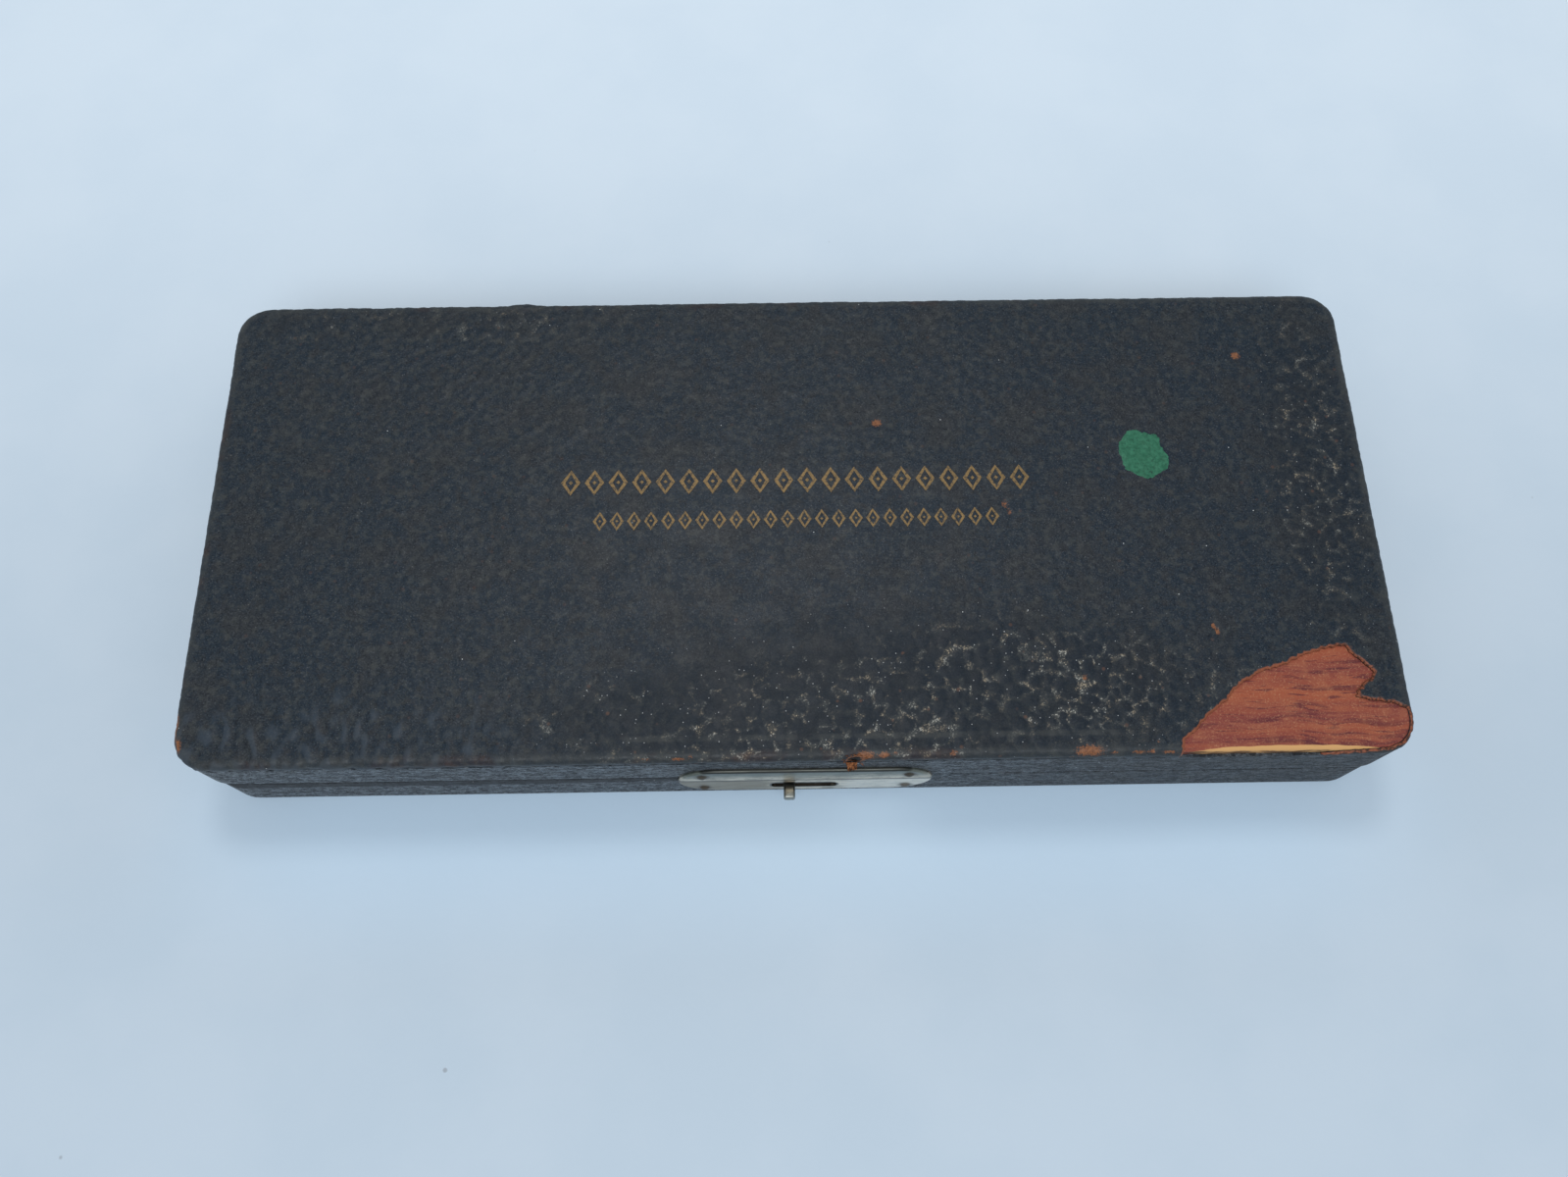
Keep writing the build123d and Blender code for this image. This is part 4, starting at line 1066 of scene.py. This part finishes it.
def wall_cloth(finish):
    """The strip of cloth round the lid's inner walls, its ends meeting in a corner."""
    low, high = box_of("lid_wall_lining")
    half, width = high[:2], high[2] - low[2]
    run = rounded_rectangle(half, CLOTH_CORNER_R, 0.5)
    run = np.concatenate([run, run[:1]])
    lengths = np.concatenate([[0], np.cumsum(np.linalg.norm(np.diff(run, axis=0), axis=1))])
    length = lengths[-1]

    def round_walls(flat, inset):
        places = np.clip(flat[:, 0] + length / 2, 0, length)
        plan = np.stack([np.interp(places, lengths, run[:, axis]) for axis in range(2)], axis=1)
        _, way = outside_by(plan, half, CLOTH_CORNER_R)
        way = way / np.maximum(np.linalg.norm(way, axis=1), 1e-6)[:, None]
        return np.column_stack([plan - way * inset[:, None], flat[:, 1] + low[2] + width / 2])

    def face(flat):
        inset = np.array([CLOTH + 0.05 * waves(x / 7, y / 4, 3.0) for x, y in flat])
        return round_walls(flat, inset - 0.15 * ease(np.abs(flat[:, 1]), width / 2 - 0.6, width / 2))

    def back(flat):
        return round_walls(flat, np.zeros(len(flat)))

    flat_half = np.array([length, width]) / 2
    edge = flat_half * [(-1, -1), (1, -1), (1, 1), (-1, 1), (-1, -1)]
    loop = resampled(edge, CLOTH_PITCH)[:-1]

    def kept(pitch):
        points = hexagonal(flat_half, pitch)
        return points[(np.abs(points) < flat_half - pitch / 2).all(axis=1)]

    piece = closed_body("wall_cloth", loop, kept(CLOTH_PITCH), kept(CLOTH_BACK_PITCH), face, back)
    point_outwards(piece)
    finished(piece, "lid", finish, "lining_cloth", "lid_wall_lining")
    return piece


def block_velvet(finish):
    """Velvet over the gauge block and down into its recesses, its edges softened by the pile."""
    work, hidden = bmesh.new(), bmesh.new()
    work.from_mesh(frame["nodes"]["gauge_block_lining"].data)
    bmesh.ops.remove_doubles(work, verts=work.verts, dist=0.001 * MM)
    hidden.from_mesh(frame["nodes"]["gauge_block"].data)
    tree = BVHTree.FromBMesh(hidden)
    hidden.free()
    low = min(v.co.z for v in work.verts)
    covered = []
    for face in work.faces:
        middle = face.calc_center_median()
        on_block = tree.find_nearest(middle)[3] < 0.05 * MM
        at_bottom = abs(middle.z - low) < 0.01 * MM and abs(face.normal.z) > 0.5
        if on_block or at_bottom:
            covered.append(face)
    bmesh.ops.delete(work, geom=covered, context="FACES")
    rim = [edge for edge in work.edges if edge.is_boundary]
    bmesh.ops.holes_fill(work, edges=rim, sides=0)
    bmesh.ops.triangulate(work, faces=work.faces)
    mesh = bpy.data.meshes.new("block_velvet")
    work.to_mesh(mesh)
    work.free()
    piece = placed("block_velvet", mesh)
    remesh = piece.modifiers.new("even_faces", "REMESH")
    remesh.mode, remesh.voxel_size = "VOXEL", BLOCK_VOXEL * MM
    applied(piece)
    work = bmesh.new()
    work.from_mesh(piece.data)
    low = min(v.co.z for v in work.verts) + BLOCK_FOOT * MM
    bottom = [f for f in work.faces if f.calc_center_median().z < low and f.normal.z < -0.5]
    bmesh.ops.delete(work, geom=bottom, context="FACES")
    for _ in range(3):
        bmesh.ops.smooth_vert(
            work, verts=work.verts, factor=0.5, use_axis_x=True, use_axis_y=True, use_axis_z=True,
        )
    for vertex in work.verts:
        soft = noise.noise(vertex.co / (8 * MM))
        vertex.co += vertex.normal * soft * PILE_WAVES * MM
    work.to_mesh(piece.data)
    work.free()
    wall = piece.modifiers.new("cloth", "SOLIDIFY")
    wall.thickness, wall.offset = BLOCK_VELVET * MM, -1
    applied(piece)
    finished(piece, "base", finish, "velvet", "gauge_block_lining")
    return piece


def lozenge_tree():
    """Geometry nodes: a row of stamped lozenge outlines, each round a small lozenge."""
    tree = bpy.data.node_groups.new("stamped_row", "GeometryNodeTree")
    tree.interface.new_socket("Geometry", in_out="OUTPUT", socket_type="NodeSocketGeometry")
    inputs = {
        "Count": "Int", "Pitch": "Float", "Width": "Float", "Height": "Float", "Stroke": "Float",
        "Leaf": "Float", "Finish": "Material",
    }
    for name, kind in inputs.items():
        tree.interface.new_socket(name, in_out="INPUT", socket_type=f"NodeSocket{kind}")
    given = tree.nodes.new("NodeGroupInput").outputs

    def add(kind, takes, **settings):
        """A node with what its inputs take. It gives its first output."""
        node = tree.nodes.new(kind)
        for key, value in settings.items():
            setattr(node, key, value)
        for key, value in takes.items():
            if isinstance(value, bpy.types.NodeSocket):
                tree.links.new(value, node.inputs[key])
            else:
                node.inputs[key].default_value = value
        return node.outputs[0]

    def reckon(operation, first, second):
        return add("ShaderNodeMath", {0: first, 1: second}, operation=operation)

    def lozenge(width, height):
        half = reckon("MULTIPLY", height, 0.5)
        sizes = {"Width": width, "Bottom Height": half, "Top Height": half}
        return add("GeometryNodeCurvePrimitiveQuadrilateral", sizes, mode="KITE")

    width, height, stroke = (given[name] for name in ("Width", "Height", "Stroke"))
    both_lines, dot = reckon("MULTIPLY", stroke, 2.6), reckon("MULTIPLY", stroke, 1.3)
    inner = [reckon("SUBTRACT", size, both_lines) for size in (width, height)]
    outline = tree.nodes.new("GeometryNodeJoinGeometry")
    for size in ((width, height), inner, (dot, dot)):
        tree.links.new(lozenge(*size), outline.inputs[0])
    fill = add("GeometryNodeFillCurve", {"Curve": outline.outputs[0]})
    step = add("ShaderNodeCombineXYZ", {"X": given["Pitch"]})
    line = add("GeometryNodeMeshLine", {"Count": given["Count"], "Offset": step}, mode="OFFSET")
    row = add("GeometryNodeInstanceOnPoints", {"Points": line, "Instance": fill})
    real = add("GeometryNodeRealizeInstances", {"Geometry": row})
    thickness = {"Mesh": real, "Offset Scale": given["Leaf"], "Individual": False}
    leaf = add("GeometryNodeExtrudeMesh", thickness)
    gilt = add("GeometryNodeSetMaterial", {"Geometry": leaf, "Material": given["Finish"]})
    tree.links.new(gilt, tree.nodes.new("NodeGroupOutput").inputs[0])
    return tree


def stamped_row(tree, name, row, finish):
    """One row of lozenges in gold leaf on the lid's top."""
    left, right, y, height, count = row
    pitch = (right - left) / count
    piece = to_mesh(name, [(0, 0, 0)], [])
    maker = piece.modifiers.new("row", "NODES")
    maker.node_group = tree
    values = {
        "Count": count, "Pitch": pitch * MM, "Width": pitch * LOZENGE_SHARE * MM, "Height": height * MM,
        "Stroke": height * STROKE_SHARE * MM, "Leaf": LEAF * MM, "Finish": finish,
    }
    for item in tree.interface.items_tree:
        if item.in_out == "INPUT" and item.name in values:
            maker[item.identifier] = values[item.name]
    applied(piece)
    for vertex in piece.data.vertices:
        vertex.co += Vector((left + pitch / 2, y, TOP_Z + LEAF_RISE)) * MM
    finished(piece, "lid", finish, "brass")
    for face in piece.data.polygons:
        face.use_smooth = False
    return piece


def ring(half, radius, y):
    """A rounded rectangle across Y, with as many points whatever its size."""
    points = []
    for side_x, side_z, start in ((1, -1, -90), (1, 1, 0), (-1, 1, 90), (-1, -1, 180)):
        for angle in np.radians(np.linspace(start, start + 90, 7)):
            x = side_x * (half[0] - radius) + radius * cos(angle)
            points.append((x, y, side_z * (half[1] - radius) + radius * sin(angle)))
    return np.array(points)


def thumb_stud(finish):
    """The stud with its worn round end, down to the rivet that holds it in the bolt."""
    low, high = box_of("thumb_stud")
    bolt_front = box_of("slide_bolt")[0][1]
    half = (high - low)[[0, 2]] / 2
    tip = low[1] + STUD_WEAR
    rings = [ring((STUD_RIVET_R, STUD_RIVET_R), STUD_RIVET_R, y) for y in (high[1], bolt_front)]
    rings.append(ring(half, STUD_EDGE_R, bolt_front))
    for angle in np.linspace(0, pi / 2, 8):
        inset = STUD_TIP_R * (1 - cos(angle))
        rings.append(ring(half - inset, STUD_EDGE_R - inset, tip + STUD_TIP_R * (1 - sin(angle))))
    count = len(rings[0])
    faces = [tuple(range(count)), tuple(reversed(range(count * (len(rings) - 1), count * len(rings))))]
    for start in range(0, count * (len(rings) - 1), count):
        for i in range(count):
            j = (i + 1) % count
            faces.append((start + i, start + count + i, start + count + j, start + j))
    middle = ((low[0] + high[0]) / 2, 0, (low[2] + high[2]) / 2)
    piece = to_mesh("thumb_stud_worn", np.concatenate(rings) + middle, faces)
    point_outwards(piece)
    return finished(piece, "slide", finish, "nickel", "thumb_stud")


def hole_fibres(finish):
    """Loose fibres and a hanging flap of the sheet round the hole in the lid's front edge."""
    rng = np.random.default_rng(7)
    points, faces = [], []

    def strip(root, tip, width, sag):
        """A flat pointed strip from a root to a tip, as a closed body."""
        side = np.cross(tip - root, (0, 1, 0.2))
        side = side / np.linalg.norm(side) * width
        start = len(points)
        for share in (0.0, 0.35, 0.7):
            middle = root + (tip - root) * share + np.array([0, -sag * sin(pi * share), 0])
            spread = side * (1 - 0.5 * share)
            points.extend([middle - spread, middle + spread])
        points.append(tip)
        points.extend([p + np.array([0, FIBRE, 0]) for p in points[start:start + 7]])
        outline = [0, 1, 3, 5, 6, 4, 2]
        faces.append([start + k for k in outline])
        faces.append([start + 7 + k for k in reversed(outline)])
        for k, after in zip(outline, outline[1:] + outline[:1]):
            faces.append((start + after, start + k, start + 7 + k, start + 7 + after))

    middle = np.array(HOLE_PLACE)
    for _ in range(HOLE_FIBRES):
        angle = rng.uniform(0, 2 * pi)
        way = np.array([cos(angle), 0.5 * sin(angle), 0.85 * sin(angle)])
        root = middle + way * (2.0, 1.25, 1.25) + np.array([0, 0.1, 0])
        tip = root + way * rng.uniform(0.1, 0.7)
        tip += np.array([rng.uniform(-0.3, 0.5), -rng.uniform(0.1, 0.45), 0])
        strip(root, tip, rng.uniform(0.10, 0.24), 0.10)
    for _ in range(FLAP_FIBRES):
        root = middle + np.array([rng.uniform(-1.2, 0.3), -0.25, -1.2])
        tip = root + np.array([rng.uniform(-0.3, 0.3), -rng.uniform(0.6, 1.5), -rng.uniform(1.2, 3.2)])
        strip(root, tip, rng.uniform(0.16, 0.34), 0.35)
    piece = to_mesh("hole_fibres", points, faces)
    point_outwards(piece)
    return finished(piece, "lid", finish, "leatherette")


def dress_solids():
    """Give every solid that shows its material, by what it is made of."""
    sides, boards, carcass = side_leatherette(), board_wood(), carcass_wood()
    by_slot = {"leatherette": sides, "wood": carcass, "nickel": plate_nickel(), "brass": brass()}
    by_name = {
        "lid_top_board": boards,
        "slide_bolt": plain_nickel("bolt_nickel", *BOLT_TARNISH_AND_SHADE, 0.5),
    }
    slots = {part["node"]: part["material_slot"] for part in frame["record"]["subparts"]}
    for name, node in frame["nodes"].items():
        finish = by_name.get(name) or by_slot.get(slots[name])
        if finish:
            node.data.materials.clear()
            node.data.materials.append(finish)


def table():
    """The pale table that the box lies on."""
    corners = [(x * TABLE_HALF, y * TABLE_HALF, 0) for x, y in ((-1, -1), (1, -1), (1, 1), (-1, 1))]
    floor = to_mesh("table", corners, [range(4)])
    floor.data.materials.append(table_top())


def lamp(name, place, aim, size, watts, colour):
    """A soft area lamp aimed at the box."""
    data = bpy.data.lights.new(name, "AREA")
    data.shape, data.size, data.energy, data.color = "DISK", size * MM, watts, colour
    light = placed(name, data)
    light.location = Vector(place) * MM
    light.rotation_mode = "QUATERNION"
    light.rotation_quaternion = (Vector(aim) - Vector(place)).to_track_quat("-Z", "Y")


def lighting():
    """An even pale sky, a wide window high in front and a small lamp that shines on the lid."""
    world = bpy.data.worlds.new("sky")
    world.use_nodes = True
    nodes, links = world.node_tree.nodes, world.node_tree.links
    sky, seen = nodes["Background"], nodes.new("ShaderNodeBackground")
    sky.inputs["Color"].default_value = SKY_LIGHT
    sky.inputs["Strength"].default_value = SKY_STRENGTH
    seen.inputs["Color"].default_value = SKY_SEEN
    chosen, rays = nodes.new("ShaderNodeMixShader"), nodes.new("ShaderNodeLightPath")
    share = rays.outputs["Is Camera Ray"]
    for kind in ("Is Glossy Ray", "Is Transmission Ray"):
        either = nodes.new("ShaderNodeMath")
        either.operation = "MAXIMUM"
        links.new(share, either.inputs[0])
        links.new(rays.outputs[kind], either.inputs[1])
        share = either.outputs[0]
    links.new(share, chosen.inputs["Fac"])
    links.new(sky.outputs[0], chosen.inputs[1])
    links.new(seen.outputs[0], chosen.inputs[2])
    links.new(chosen.outputs[0], nodes["World Output"].inputs["Surface"])
    bpy.context.scene.world = world
    lamp(
        "window", place=(0, -560, 950), aim=(0, 0, 15),
        size=620, watts=5.6, colour=(0.93, 0.97, 1.0),
    )
    lamp(
        "ceiling_lamp", place=(-45, 278, 900), aim=(-12, -25, 28),
        size=230, watts=1.5, colour=(1.0, 0.97, 0.93),
    )


def camera():
    """The photograph's camera."""
    data = bpy.data.cameras.new("camera")
    data.lens, data.sensor_width, data.sensor_fit = LENS, SENSOR, "HORIZONTAL"
    data.clip_start, data.clip_end = 10 * MM, 20000 * MM
    seat = placed("camera", data)
    seat.location = Vector(CAMERA_PLACE) * MM
    seat.rotation_euler = [radians(angle) for angle in CAMERA_TURN]
    bpy.context.scene.camera = seat


def main():
    bpy.context.scene.view_settings.view_transform = "Standard"
    noise.seed_set(STRAY_SEED)
    camera()
    lighting()
    table()
    dress_solids()
    top_sheet(top_leatherette())
    wine = velvet("velvet", *WINE_VELVET)
    velvet_pad(wine)
    wall_cloth(velvet("lining_cloth", *WINE_CLOTH))
    block_velvet(wine)
    leaf, tree = gold(), lozenge_tree()
    for number, row in enumerate(STAMPED_ROWS, 1):
        stamped_row(tree, f"stamped_row_{number}", row, leaf)
    hole_fibres(raw_leather())
    thumb_stud(plain_nickel("stud_nickel", *STUD_NICKEL, 0.42))


main()
